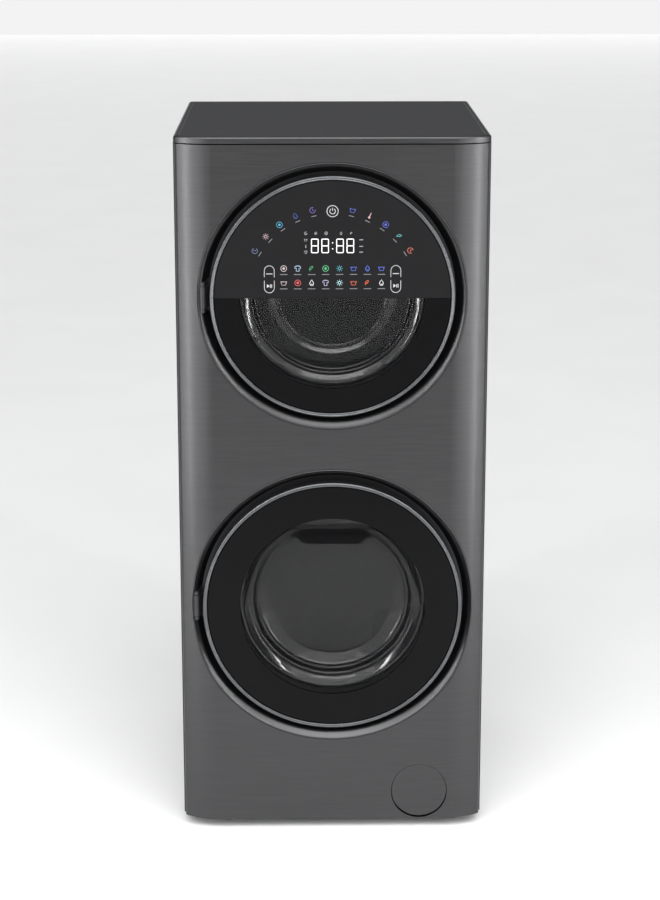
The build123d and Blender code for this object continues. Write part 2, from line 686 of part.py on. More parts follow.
def filter_cover():
    """Round flap, flush with the front, on two pins near its lower edge."""
    y, z = COVER_PIN
    disc = along_y(PUMP_X, PUMP_Z, COVER_RADIUS, FRONT_Y, FRONT_Y + COVER_THICKNESS)
    disc = fillet(disc.edges().group_by(Axis.Y)[0], 1.4)
    for side in (-1, 1):
        ear_x = PUMP_X + side * COVER_EAR_X
        disc -= block(ear_x - 2.5, ear_x + 2.5, FRONT_Y + COVER_SKIN, FRONT_Y + 5, 0, z + 1.8)
        for x in (ear_x - 3.8, ear_x + 3.8):
            disc += block(x - 1.3, x + 1.3, FRONT_Y + 1, y + 1.6, z - 1.6, z + 1.6)
        disc += rod((ear_x - 4, y, z), (ear_x + 4, y, z), COVER_PIN_RADIUS)
    return disc


def filter_cover_frame():
    """Shallow dish behind the flap, with the two ears that hold its pins."""
    y, z = COVER_PIN
    front = FRONT_Y + SHEET + 0.4
    dish = tube_y(PUMP_X, PUMP_Z, COVER_RADIUS + 5, COVER_RADIUS + 1.5, front, FRONT_Y + 12)
    dish -= along_y(PUMP_X, PUMP_Z - COVER_DROP, COVER_RADIUS + 1.5, front - 1, FRONT_Y + 12)
    dish += tube_y(PUMP_X, PUMP_Z, COVER_RADIUS + 5, 37, FRONT_Y + 12, FRONT_Y + 14)
    dish -= block(PUMP_X - 60, PUMP_X + 60, FRONT_Y, -200, 0, PANEL_BOTTOM + 4)
    for side in (-1, 1):
        x = PUMP_X + side * COVER_EAR_X
        dish += block(x - 2, x + 2, y, FRONT_Y + 13, z - 1.3, z + 1.3)
        dish += rod((x - 2, y, z), (x + 2, y, z), 1.3)
        dish -= rod((x - 3, y, z), (x + 3, y, z), COVER_PIN_RADIUS + PIN_FIT)
    return dish


def water_inlet_valve():
    """Double valve body with two threaded hose ends."""
    body = block(INLET_X[0] - 20, INLET_X[1] + 20, 240, REAR_PANEL_Y - 6, INLET_Z - 24, INLET_Z + 24)
    for x in INLET_X:
        body += along_y(x, INLET_Z, 22, REAR_PANEL_Y - 6, REAR_PANEL_Y)
        body += along_y(x, INLET_Z, THREAD_RADIUS, REAR_PANEL_Y, BACK_Y)
        body -= along_y(x, INLET_Z, 7.0, REAR_PANEL_Y - 20, BACK_Y + 5)
        body += upright(x, 258, 13, INLET_Z + 24, INLET_Z + 48)
    return body


def drain_outlet():
    """Elbow that ends in the drain hose's spigot."""
    elbow = along_y(DRAIN_X, DRAIN_Z, 18, REAR_PANEL_Y - 4, REAR_PANEL_Y)
    elbow += along_y(DRAIN_X, DRAIN_Z, DRAIN_RADIUS, REAR_PANEL_Y, BACK_Y)
    elbow += along_y(DRAIN_X, DRAIN_Z, 13, REAR_PANEL_Y - 30, REAR_PANEL_Y)
    elbow += upright(DRAIN_X, REAR_PANEL_Y - 24, 12, DRAIN_Z - 50, DRAIN_Z)
    elbow -= along_y(DRAIN_X, DRAIN_Z, 8, REAR_PANEL_Y - 26, BACK_Y + 5)
    return elbow - upright(DRAIN_X, REAR_PANEL_Y - 24, 8, DRAIN_Z - 60, DRAIN_Z)


def power_gland():
    """Flanged gland for the supply cord."""
    gland = along_y(GLAND_X, GLAND_Z, 9, REAR_PANEL_Y - 10, REAR_PANEL_Y + SHEET)
    gland += along_y(GLAND_X, GLAND_Z, 13, REAR_PANEL_Y + SHEET, REAR_PANEL_Y + 4)
    gland += along_y(GLAND_X, GLAND_Z, 8, REAR_PANEL_Y + 4, BACK_Y - 2)
    return gland - along_y(GLAND_X, GLAND_Z, GLAND_BORE, REAR_PANEL_Y - 20, BACK_Y + 5)


# ---------------------------------------------------------------- dryer


def dryer_drum():
    """Drum with its lifting ribs and the short shaft at its back."""
    drum = drum_shell(UPPER.z, DRYER_RADIUS, DRYER_FRONT_Y, DRYER_BACK_Y, 200.0, SHEET)
    for rib in lifters(UPPER.z, DRYER_RADIUS - SHEET + 0.3, -150, 200, 38):
        drum += rib
    drum += along_y(0, UPPER.z, 40, DRYER_BACK_Y, DRYER_BACK_Y + 6)
    return drum + along_y(0, UPPER.z, 10, DRYER_BACK_Y + 6, REAR_PANEL_Y - 4)


def dryer_bulkhead():
    """Front wall behind the door, with a collar for the drum's mouth and the filter's pocket."""
    y, z = BULKHEAD_Y, UPPER.z
    wall = block(-280, 280, y, y + 3, SHELF_Z, z + 262)
    wall -= along_y(0, z, THROAT_RADIUS + 3, y - 5, y + 5)
    collar = tube_y(0, z, THROAT_RADIUS + 3, THROAT_RADIUS, DOOR_BACK_Y + 16, DRYER_FRONT_Y + 6)
    pocket = block(-FILTER_HALF - 5, FILTER_HALF + 5, y - 22, y, FILTER_BOTTOM - 3, FILTER_TOP - 2)
    pocket -= along_y(0, z, THROAT_RADIUS, y - 40, y + 10)
    wall += collar + pocket
    slot = block(-FILTER_HALF - 1, FILTER_HALF + 1, y - 19, y - 3, FILTER_BOTTOM, z)
    wall -= slot
    for side in (-1, 1):
        x, axle_z = roller_place(side)
        wall += along_y(x, axle_z, 5, y + 3, y + 48)
    return wall


def roller_place(side):
    """Axis of a roller that carries the front of the dryer's drum."""
    reach = DRYER_RADIUS + ROLLER_RADIUS + 0.3
    return side * reach * sin(radians(ROLLER_ANGLE)), UPPER.z - reach * cos(radians(ROLLER_ANGLE))


def support_roller(side):
    x, z = roller_place(side)
    return tube_y(x, z, ROLLER_RADIUS, 5 + PIN_FIT, BULKHEAD_Y + 30, BULKHEAD_Y + 46)


def dryer_motor():
    x, z = DRYER_MOTOR
    motor = along_y(x, z, 44, 118, 196) + along_y(x, z, 30, 112, 202)
    motor += block(x - 36, x + 36, 128, 186, SHELF_Z, z - 30)
    return motor - along_y(x, z, 6 + PIN_FIT, 100, 220)


def dryer_motor_shaft():
    """Motor shaft with the belt pulley at one end and the blower wheel at the other."""
    x, z = DRYER_MOTOR
    shaft = motor_pulley(x, z, DRYER_PULLEY_RADIUS, 6, 98, DRYER_BELT_Y - 3, DRYER_BELT_Y + 10)
    shaft += along_y(x, z, 6, DRYER_BELT_Y, 240)
    wheel = along_y(x, z, 46, 236, 239) + along_y(x, z, 12, 214, 239)
    for dx, dz, angle in ring_places(16, 36.0):
        blade = Pos(x + dx, 225, z + dz) * (Rotation(0, -angle - 35, 0) * Box(16, 24, 1.6))
        wheel += blade
    return shaft + (wheel - along_y(x, z, 5, 200, 250))


def compressor():
    """Rotary compressor lying along Y, with its accumulator and saddle."""
    x, z = DRYER_MOTOR
    body = along_y(x, z, 50, -120, 40)
    body = fillet(body.edges().filter_by(GeomType.CIRCLE), 14)
    body += block(x - 30, x + 30, -100, 20, SHELF_Z, z - 42)
    return body


def heat_exchangers():
    """Evaporator and condenser: stacks of fins between two end plates."""
    solids = []
    for y0, y1 in ((-150.0, -15.0), (5.0, 140.0)):
        stack = block(-284, -176, y0, y1, SHELF_Z, SHELF_Z + 80)
        for index in range(10):
            y = y0 + 12 + index * 12
            stack -= block(-290, -170, y - 4, y + 4, SHELF_Z + 6, SHELF_Z + 74)
        for z in (SHELF_Z + 25, SHELF_Z + 55):
            stack += along_y(-230, z, 5, y0, y1)
        solids.append(stack)
    return group(solids)


def lint_filter():
    """Pull-out cartridge: a grip on top and a slotted screen."""
    y = BULKHEAD_Y
    half = FILTER_HALF
    filter_body = block(-half, half, y - 18, y - 4, FILTER_BOTTOM + 1, FILTER_TOP - 3)
    filter_body -= block(-half + 8, half - 8, y - 16, y - 6, FILTER_BOTTOM + 9, FILTER_TOP - 16)
    for index in range(9):
        x = -half + 20 + index * (2 * half - 40) / 8
        filter_body -= block(x - 6, x + 6, y - 20, y, FILTER_BOTTOM + 16, FILTER_TOP - 24)
    return filter_body


def build_nodes():
    """Every piece of the assembly, by name."""
    nodes = {
        "side_panel_left": side_panel(-1),
        "side_panel_right": side_panel(1),
        "rear_panel": rear_panel(),
        "rear_service_cover": rear_service_cover(),
        "panel_screws": panel_screws(),
        "top_cover": top_cover(),
        "front_panel": front_panel(),
        "base_tray": base_tray(),
        "levelling_feet": levelling_feet(),
        "mid_shelf": mid_shelf(),
    }
    for name, door in (("upper", UPPER), ("lower", LOWER)):
        nodes[f"{name}_door_surround"] = door_surround(door)
        nodes[f"{name}_door_ring"] = door_ring(door)
        nodes[f"{name}_door_frame"] = door_frame(door)
        nodes[f"{name}_door_inner_frame"] = door_inner_frame(door)
        nodes[f"{name}_door_bowl"] = door_bowl(door)
        nodes[f"{name}_door_hinge_arm"] = hinge_arm(door)
        nodes[f"{name}_door_hook"] = door_hook(door)
    nodes |= {
        "upper_door_glass": half_disc(door_glass(UPPER), UPPER, above=False),
        "control_panel": half_disc(door_glass(UPPER), UPPER, above=True),
        "control_board": control_board(),
        "lower_door_glass": door_glass(LOWER),
        "hinge_brackets": group([*hinge_bracket(UPPER), *hinge_bracket(LOWER)]),
        "door_locks": group([door_lock(UPPER), door_lock(LOWER)]),
        "washer_gasket": washer_gasket(),
        "tub_front": tub_front(),
        "tub_rear": tub_rear(),
        "washer_drum": drum_shell(LOWER.z, DRUM_RADIUS, DRUM_FRONT_Y, DRUM_BACK_Y, MOUTH_RADIUS, SHEET),
        "washer_lifters": group(lifters(LOWER.z, DRUM_RADIUS - SHEET, -150, 115, 40)),
        "drum_spider": drum_spider(),
        "shaft_bearings": shaft_bearings(),
        "drum_pulley": belt_pulley(
            0, LOWER.z, PULLEY_RADIUS, SHAFT_RADIUS, PULLEY_Y, PULLEY_Y + PULLEY_WIDTH, 6
        ),
        "drive_belts": group([washer_belt(), dryer_belt()]),
        "washer_motor": washer_motor(),
        "washer_motor_pulley": motor_pulley(
            *WASHER_MOTOR, MOTOR_PULLEY_RADIUS, 6, 175, PULLEY_Y - 1, PULLEY_Y + PULLEY_WIDTH + 1
        ),
        "tub_suspension": group([*tub_springs(), *tub_dampers()]),
        "counterweights": counterweights(),
        "heater": heater(),
        "drain_pump": drain_pump(),
        "pump_filter": pump_filter(),
        "filter_cover": filter_cover(),
        "filter_cover_frame": filter_cover_frame(),
        "water_inlet_valve": water_inlet_valve(),
        "drain_outlet": drain_outlet(),
        "power_gland": power_gland(),
        "dryer_drum": dryer_drum(),
        "dryer_bulkhead": dryer_bulkhead(),
        "support_roller_left": support_roller(-1),
        "support_roller_right": support_roller(1),
        "dryer_motor": dryer_motor(),
        "dryer_motor_shaft": dryer_motor_shaft(),
        "compressor": compressor(),
        "heat_exchangers": heat_exchangers(),
        "lint_filter": lint_filter(),
    }
    return nodes


def main():
    os.makedirs("parts", exist_ok=True)
    for name, shape in build_nodes().items():
        export_step(shape, f"parts/{name}.step")


main()
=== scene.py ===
import json
import math

import bmesh
import bpy
from mathutils import Matrix, Vector


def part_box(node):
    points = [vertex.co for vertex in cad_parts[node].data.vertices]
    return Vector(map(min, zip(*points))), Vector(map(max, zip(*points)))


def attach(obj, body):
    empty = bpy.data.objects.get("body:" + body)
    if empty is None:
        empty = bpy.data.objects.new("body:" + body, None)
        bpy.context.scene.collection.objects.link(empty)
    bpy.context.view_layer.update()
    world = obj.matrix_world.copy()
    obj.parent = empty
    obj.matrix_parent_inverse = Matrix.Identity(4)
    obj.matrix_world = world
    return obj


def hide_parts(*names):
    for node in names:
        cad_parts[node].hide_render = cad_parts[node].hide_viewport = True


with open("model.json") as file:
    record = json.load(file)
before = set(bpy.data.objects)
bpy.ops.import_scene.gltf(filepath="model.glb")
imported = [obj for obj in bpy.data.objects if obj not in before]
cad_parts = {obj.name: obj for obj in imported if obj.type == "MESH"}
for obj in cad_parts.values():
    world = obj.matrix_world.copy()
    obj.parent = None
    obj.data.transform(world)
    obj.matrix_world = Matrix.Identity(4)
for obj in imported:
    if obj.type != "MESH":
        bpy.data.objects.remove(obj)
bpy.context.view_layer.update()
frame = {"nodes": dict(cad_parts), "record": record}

bl_info = {
    "name": "Laundry Tower Looks",
    "version": (1, 0, 0),
    "blender": (4, 5, 0),
    "location": "View3D > Sidebar > Laundry Tower",
    "description": "Finishes and fine shapes of a heat-pump dryer stacked on a washer",
    "category": "Object",
}

MM = 0.001
TURN_STEPS = 192
SMOOTH_ANGLE = math.radians(32)


# ---------------------------------------------------------------- shading helpers


def linear(hex_colour):
    """An sRGB hex colour as the linear RGBA that sockets take."""
    parts = [int(hex_colour[i : i + 2], 16) / 255 for i in (1, 3, 5)]
    curved = [c / 12.92 if c <= 0.04045 else ((c + 0.055) / 1.055) ** 2.4 for c in parts]
    return (*curved, 1.0)


def add_node(tree, kind, settings=None, links=None):
    """Adds a node, sets its attributes and sockets, and links its inputs."""
    node = tree.nodes.new(kind)
    for key, value in (settings or {}).items():
        if isinstance(key, str) and hasattr(node, key):
            setattr(node, key, value)
        else:
            node.inputs[key].default_value = value
    for key, output in (links or {}).items():
        tree.links.new(output, node.inputs[key])
    return node


def noise(tree, period, detail=3.0):
    """Noise whose blotches measure period (x, y, z) in millimetres on the piece."""
    place = add_node(tree, "ShaderNodeTexCoord")
    scale = [1 / (size * MM) for size in period]
    spread = add_node(tree, "ShaderNodeMapping", {"Scale": scale}, {"Vector": place.outputs["Object"]})
    return add_node(
        tree, "ShaderNodeTexNoise", {"Scale": 1.0, "Detail": detail}, {"Vector": spread.outputs["Vector"]}
    ).outputs["Fac"]


def grained(name, shades, roughness, period, relief, sockets=None):
    """A material whose colour, gloss and relief (mm) all follow one noise pattern."""
    material = bpy.data.materials.new(name)
    material.use_nodes = True
    tree = material.node_tree
    shader = tree.nodes["Principled BSDF"]
    grain = noise(tree, period)
    colour = add_node(
        tree,
        "ShaderNodeMix",
        {"data_type": "RGBA", 6: linear(shades[0]), 7: linear(shades[1])},
        {0: grain},
    )
    gloss = add_node(tree, "ShaderNodeMapRange", {3: roughness[0], 4: roughness[1]}, {0: grain})
    bump = add_node(tree, "ShaderNodeBump", {"Distance": relief * MM}, {"Height": grain})
    tree.links.new(colour.outputs[2], shader.inputs["Base Color"])
    tree.links.new(gloss.outputs[0], shader.inputs["Roughness"])
    tree.links.new(bump.outputs[0], shader.inputs["Normal"])
    for key, value in (sockets or {}).items():
        shader.inputs[key].default_value = value
    return material


# ---------------------------------------------------------------- materials

# Coated glass gives back about a fifth of what bare glass does.
QUIET_GLOSS = {"IOR": 1.5, "Specular IOR Level": 0.1}


def brushed_titanium_steel():
    """Stainless sheet, dark coated and brushed across: long fine streaks and a soft vertical glow."""
    return grained(
        "brushed_titanium_steel", ("#434344", "#515152"), (0.28, 0.44), (90, 90, 1.6), 0.012,
        {"Metallic": 1.0},
    )


def lacquered_well_steel():
    """Drawn door well: dark lacquered steel that mirrors the door's own shade."""
    return grained(
        "lacquered_well_steel", ("#3c3c3e", "#48484a"), (0.3, 0.42), (2.4, 9, 2.4), 0.01,
        {"Metallic": 0.85},
    )


def dark_top_enamel():
    """Satin enamel over the folded lid, faintly mottled; its colour is painted shade, darker than the
    brushed front, for how dim the top looks under the lights.
    """
    return grained(
        "dark_top_enamel", ("#272729", "#303032"), (0.5, 0.62), (2.2, 2.2, 2.2), 0.02,
        {"Specular IOR Level": 0.1},
    )


def side_enamel():
    """Powder-coated steel: almost black, with fine orange peel."""
    return grained("side_enamel", ("#1b1b1d", "#252527"), (0.36, 0.5), (2.5, 2.5, 2.5), 0.03)


def galvanised_sheet():
    """Hot-dip zinc: crystals of 12 mm in slightly different greys."""
    material = grained(
        "galvanised_sheet", ("#8d9194", "#a9adb0"), (0.3, 0.5), (3, 3, 3), 0.01,
        {"Metallic": 1.0},
    )
    tree = material.node_tree
    shader = tree.nodes["Principled BSDF"]
    place = add_node(tree, "ShaderNodeTexCoord")
    crystals = add_node(
        tree, "ShaderNodeTexVoronoi", {"Scale": 1 / (12 * MM)}, {"Vector": place.outputs["Object"]}
    )
    spangle = add_node(
        tree,
        "ShaderNodeMapRange",
        {3: 0.28, 4: 0.55},
        {0: crystals.outputs["Color"]},
    )
    tree.links.new(spangle.outputs[0], shader.inputs["Roughness"])
    return material


def zinc_plated_steel():
    """Bright zinc plate on screws and bearings."""
    return grained(
        "zinc_plated_steel", ("#9a9c9e", "#b4b6b8"), (0.24, 0.36), (1.5, 1.5, 1.5), 0.01,
        {"Metallic": 1.0},
    )


def satin_chrome():
    """Satin chrome over a turned ring: bright crowns with a soft edge."""
    return grained(
        "satin_chrome", ("#505153", "#626365"), (0.22, 0.3), (14, 3, 14), 0.004,
        {"Metallic": 1.0},
    )


def black_printed_glass():
    """Tempered glass printed black behind: deep black under a sharp gloss."""
    return grained(
        "black_printed_glass", ("#060607", "#0a0a0b"), (0.03, 0.06), (60, 60, 60), 0.0,
        QUIET_GLOSS,
    )


def grey_printed_glass():
    """The same glass over a charcoal print, where the keys are."""
    return grained(
        "grey_printed_glass", ("#161617", "#1a1a1b"), (0.16, 0.22), (50, 50, 50), 0.0,
        QUIET_GLOSS,
    )


def smoked_glass():
    """Window of the door: tinted, so that the bowl behind shows dimly."""
    return grained(
        "smoked_glass", ("#050506", "#08080a"), (0.02, 0.04), (60, 60, 60), 0.0,
        {**QUIET_GLOSS, "Alpha": 0.26},
    )


def pressed_glass():
    """Thick pressed borosilicate in watery waves; the high index keeps its rims bright in the dark."""
    return grained(
        "pressed_glass", ("#090a0b", "#0f1112"), (0.03, 0.07), (26, 26, 26), 0.3,
        {"IOR": 2.0, "Alpha": 0.8},
    )


def moulded_black_plastic():
    """Filled ABS from a spark-eroded mould: fine even grain."""
    return grained(
        "moulded_black_plastic", ("#101011", "#18181a"), (0.42, 0.6), (0.9, 0.9, 0.9), 0.04,
    )


def moulded_grey_plastic():
    """Glass-filled polypropylene: pale grey with faint flow marks."""
    return grained("moulded_grey_plastic", ("#8b8d8f", "#9c9ea0"), (0.45, 0.6), (9, 9, 3), 0.05)


def lacquered_board():
    """Circuit board: green lacquer over copper tracks 1.2 mm apart."""
    return grained("lacquered_board", ("#0d3b24", "#1d5c38"), (0.2, 0.4), (12, 1.2, 1.2), 0.05)


def drawn_stainless():
    """Stainless drum sheet, drawn and rolled round its axis."""
    return grained(
        "drawn_stainless", ("#8b8c8e", "#a5a6a8"), (0.18, 0.3), (40, 1.4, 40), 0.01,
        {"Metallic": 1.0},
    )


def moulded_rubber():
    """Grey EPDM: matt, with a dusty bloom."""
    return grained("moulded_rubber", ("#5e6062", "#6d6f71"), (0.6, 0.8), (4, 4, 4), 0.04)


def belt_rubber():
    """Black ribbed rubber: dull and slightly scuffed."""
    return grained("belt_rubber", ("#0d0d0d", "#1a1a1a"), (0.65, 0.85), (3, 2.3, 3), 0.08)


def cast_aluminium():
    """Gravity-cast aluminium: pebbled skin of about 1 mm."""
    return grained(
        "cast_aluminium", ("#8f9193", "#a6a8aa"), (0.4, 0.55), (1.1, 1.1, 1.1), 0.06,
        {"Metallic": 1.0},
    )


def painted_motor_steel():
    """Black dipped paint over rolled steel cans."""
    return grained("painted_motor_steel", ("#161617", "#212123"), (0.35, 0.5), (6, 6, 1.5), 0.03)


def cast_concrete():
    """Weights of cast concrete: grey, porous and rough."""
    return grained("cast_concrete", ("#77746f", "#94918b"), (0.8, 0.95), (3, 3, 3), 0.4)


def punched_shadow():
    """Painted shadow: the near-black of a punched hole's shaded inside, laid on the drum as a thin disc.
    """
    return grained("punched_shadow", ("#08080a", "#101012"), (0.5, 0.7), (2, 2, 2), 0.01)


def printed_ink(name, shades, glow):
    """Ceramic ink lit from behind: flat, clean and faintly glowing."""
    return grained(
        name, shades, (0.3, 0.4), (5, 5, 5), 0.0,
        {"Emission Color": linear(shades[1]), "Emission Strength": glow},
    )


SLOT_FINISHES = {
    "titanium_steel": brushed_titanium_steel,
    "dark_steel": side_enamel,
    "zinc_steel": galvanised_sheet,
    "screw_steel": zinc_plated_steel,
    "satin_ring": satin_chrome,
    "black_glass": black_printed_glass,
    "panel_glass": grey_printed_glass,
    "clear_glass": pressed_glass,
    "dark_plastic": moulded_black_plastic,
    "grey_plastic": moulded_grey_plastic,
    "circuit_board": lacquered_board,
    "drum_steel": drawn_stainless,
    "grey_rubber": moulded_rubber,
    "belt_rubber": belt_rubber,
    "cast_alloy": cast_aluminium,
    "motor_steel": painted_motor_steel,
    "cast_weight": cast_concrete,
}


def finish(maker):
    """The material that a maker gives, made once."""
    return bpy.data.materials.get(maker.__name__) or maker()


# ---------------------------------------------------------------- shape helpers


def soften(points, reach, closed=True, steps=4):
    """Rounds an outline's corners with short curves that begin reach before each corner."""
    rounded = []
    for index, point in enumerate(points):
        corner = Vector(point)
        if not closed and index in (0, len(points) - 1):
            rounded.append(corner)
            continue
        before = Vector(points[index - 1]) - corner
        after = Vector(points[(index + 1) % len(points)]) - corner
        start = corner + before * min(0.45, reach / before.length)
        end = corner + after * min(0.45, reach / after.length)
        for step in range(steps + 1):
            t = step / steps
            rounded.append((1 - t) ** 2 * start + 2 * t * (1 - t) * corner + t * t * end)
    return rounded


def lathe(outline, height):
    """Turns a closed (radius, y) outline, in metres, about the line along Y at that height."""
    shape = bmesh.new()
    rows = []
    for step in range(TURN_STEPS):
        angle = 2 * math.pi * step / TURN_STEPS
        along = (math.cos(angle), math.sin(angle))
        rows.append([shape.verts.new((r * along[0], y, height + r * along[1])) for r, y in outline])
    for row, following in zip(rows, rows[1:] + rows[:1]):
        for index in range(len(outline)):
            onward = (index + 1) % len(outline)
            shape.faces.new((row[index], row[onward], following[onward], following[index]))
    bmesh.ops.remove_doubles(shape, verts=shape.verts, dist=1e-6)
    bmesh.ops.dissolve_degenerate(shape, edges=shape.edges, dist=1e-7)
    bmesh.ops.recalc_face_normals(shape, faces=shape.faces)
    return shape


def keep_half(shape, height, above):
    """Cuts a shape level at that height, keeps one half and closes the cut."""
    way = (0, 0, -1 if above else 1)
    geometry = [*shape.verts, *shape.edges, *shape.faces]
    bmesh.ops.bisect_plane(shape, geom=geometry, plane_co=(0, 0, height), plane_no=way, clear_outer=True)
    bmesh.ops.holes_fill(shape, edges=[e for e in shape.edges if e.is_boundary], sides=0)
    bmesh.ops.recalc_face_normals(shape, faces=shape.faces)
    return shape


def finish_piece(name, mesh, materials, body, replaces=()):
    """Shades a mesh, links it as a piece on its body, and hides the nodes it replaces."""
    if isinstance(mesh, bmesh.types.BMesh):
        shape, mesh = mesh, bpy.data.meshes.new(name)
        shape.to_mesh(mesh)
        shape.free()
    mesh.shade_smooth()
    mesh.set_sharp_from_angle(angle=SMOOTH_ANGLE)
    for material in materials:
        mesh.materials.append(material)
    piece = bpy.data.objects.new(name, mesh)
    bpy.context.scene.collection.objects.link(piece)
    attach(piece, body)
    if replaces:
        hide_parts(*replaces)
    return piece


def scatter(name, places, shape, material, turn=(0.0, 0.0, 0.0), axis_height=None):
    """A copy of shape at each place, from a node tree made into one plain mesh.

    With axis_height the copies' own Z points away from the line along Y at that height.
    """
    tree = bpy.data.node_groups.new(name, "GeometryNodeTree")
    inputs = {}
    for label, kind in (
        ("Places", "NodeSocketGeometry"),
        ("Shape", "NodeSocketObject"),
        ("Turn", "NodeSocketVector"),
        ("Axis Height", "NodeSocketFloat"),
        ("Finish", "NodeSocketMaterial"),
    ):
        inputs[label] = tree.interface.new_socket(label, in_out="INPUT", socket_type=kind).identifier
    tree.interface.new_socket("Pieces", in_out="OUTPUT", socket_type="NodeSocketGeometry")
    given = add_node(tree, "NodeGroupInput").outputs
    source = add_node(tree, "GeometryNodeObjectInfo", None, {"Object": given["Shape"]})
    rotation = given["Turn"]
    if axis_height is not None:
        place = add_node(tree, "GeometryNodeInputPosition").outputs[0]
        point = add_node(tree, "ShaderNodeSeparateXYZ", None, {0: place}).outputs
        heights = {0: point["Z"], 1: given["Axis Height"]}
        rise = add_node(tree, "ShaderNodeMath", {"operation": "SUBTRACT"}, heights).outputs[0]
        outward = add_node(tree, "ShaderNodeCombineXYZ", None, {"X": point["X"], "Z": rise}).outputs[0]
        aimed = add_node(tree, "FunctionNodeAlignRotationToVector", {"axis": "Z"}, {"Vector": outward})
        rotation = aimed.outputs[0]
    copies = add_node(
        tree,
        "GeometryNodeInstanceOnPoints",
        None,
        {"Points": given["Places"], "Instance": source.outputs["Geometry"], "Rotation": rotation},
    )
    solid = add_node(tree, "GeometryNodeRealizeInstances", None, {"Geometry": copies.outputs[0]})
    painted = add_node(
        tree, "GeometryNodeSetMaterial", None, {"Geometry": solid.outputs[0], "Material": given["Finish"]}
    )
    add_node(tree, "NodeGroupOutput", None, {0: painted.outputs[0]})
    points = bpy.data.meshes.new(name + "_places")
    points.from_pydata(places, [], [])
    host = bpy.data.objects.new(name + "_places", points)
    bpy.context.scene.collection.objects.link(host)
    model = bpy.data.objects.new(name + "_shape", bpy.data.meshes.new(name + "_shape"))
    shape.to_mesh(model.data)
    shape.free()
    bpy.context.scene.collection.objects.link(model)
    modifier = host.modifiers.new(name, "NODES")
    modifier.node_group = tree
    modifier[inputs["Shape"]] = model
    modifier[inputs["Turn"]] = turn
    modifier[inputs["Axis Height"]] = axis_height or 0.0
    modifier[inputs["Finish"]] = material
    evaluated = host.evaluated_get(bpy.context.evaluated_depsgraph_get())
    mesh = bpy.data.meshes.new_from_object(evaluated)
    host.modifiers.remove(modifier)
    bpy.data.objects.remove(host)
    bpy.data.objects.remove(model)
    return mesh


def round_shape(rings, sides):
    """A closed stack of (radius, z) rings about Z, as for a screw head or a punched disc."""
    shape = bmesh.new()
    rows = []
    for radius, z in rings:
        turns = [2 * math.pi * step / sides for step in range(sides)]
        rows.append([shape.verts.new((radius * math.cos(a), radius * math.sin(a), z)) for a in turns])
    for row, following in zip(rows, rows[1:]):
        for index in range(sides):
            onward = (index + 1) % sides
            shape.faces.new((row[index], row[onward], following[onward], following[index]))
    shape.faces.new(rows[0])
    shape.faces.new(rows[-1])
    bmesh.ops.recalc_face_normals(shape, faces=shape.faces)
    return shape


# ---------------------------------------------------------------- sizes that a user would change


class LaundryDoorSizes(bpy.types.PropertyGroup):
    """The two round doors."""

    upper_window: bpy.props.FloatProperty(
        name="Upper Window", description="Radius of the dryer door's clear part",
        default=0.177, unit="LENGTH",
    )
    lower_window: bpy.props.FloatProperty(
        name="Lower Window", description="Radius of the washer door's clear part",
        default=0.182, unit="LENGTH",
    )
    dome: bpy.props.FloatProperty(
        name="Dome", description="How far the glass bulges at its middle", default=0.0012, unit="LENGTH"
    )
    bead: bpy.props.FloatProperty(
        name="Bead", description="Softness of the ring's crowns", default=0.0012, unit="LENGTH"
    )


class LaundryLidSizes(bpy.types.PropertyGroup):
    """The folded lid."""

    rounding: bpy.props.FloatProperty(
        name="Rounding", description="Radius of the lid's top edge", default=0.0045, unit="LENGTH"
    )
    border: bpy.props.FloatProperty(
        name="Border", description="From the lid's edge to its pressed line",
        default=0.011, unit="LENGTH",
    )


class LaundryKeySizes(bpy.types.PropertyGroup):
    """The printed and lit marks of the control panel."""

    stroke: bpy.props.FloatProperty(
        name="Stroke", description="Line width of the small signs", default=0.001, unit="LENGTH"
    )
    sign: bpy.props.FloatProperty(
        name="Sign", description="Radius of a programme sign", default=0.0058, unit="LENGTH"
    )
    white: bpy.props.FloatVectorProperty(
        name="White", description="Colour of the lit digits",
        default=linear("#f2f2f2")[:3], subtype="COLOR",
    )
    glow: bpy.props.FloatProperty(
        name="Glow", description="Light of the digits", default=0.2, min=0.0, soft_max=4.0
    )


class LaundryDrumSizes(bpy.types.PropertyGroup):
    """The washer drum's perforations."""

    pitch: bpy.props.FloatProperty(
        name="Pitch", description="From hole to hole", default=0.0165, unit="LENGTH"
    )
    hole: bpy.props.FloatProperty(
        name="Hole", description="Radius of a hole", default=0.0021, unit="LENGTH"
    )


class LaundryStudioSizes(bpy.types.PropertyGroup):
    """Floor, backdrop and light."""

    floor: bpy.props.FloatProperty(
        name="Floor", description="Width of the floor", default=40.0, unit="LENGTH"
    )
    screen: bpy.props.FloatProperty(
        name="Screen", description="Height of the backdrop", default=3.8, unit="LENGTH"
    )
    sky: bpy.props.FloatProperty(
        name="Sky", description="Light from all round", default=0.36, min=0.0
    )
    strip: bpy.props.FloatProperty(
        name="Strips", description="Watts of each side softbox", default=21.0, min=0.0
    )
    tube: bpy.props.FloatProperty(
        name="Tubes", description="Watts of each side tube", default=19.0, min=0.0
    )
    key: bpy.props.FloatProperty(
        name="Key", description="Watts of the softbox over the front", default=30.0, min=0.0
    )
    ceiling: bpy.props.FloatProperty(
        name="Ceiling", description="Light that falls from above", default=2.6, min=0.0
    )


# ---------------------------------------------------------------- cabinet

# Plan of each front corner: a wide arc through SWEEP_ANGLE degrees, then a small one to the side.
SWEEP_RADIUS, CORNER_RADIUS, SWEEP_ANGLE = 0.114, 0.01, 34
LID_OVERHANG = 0.002
# The door wells narrow by this much of their depth.
WELL_TAPER = 20 / 37.5

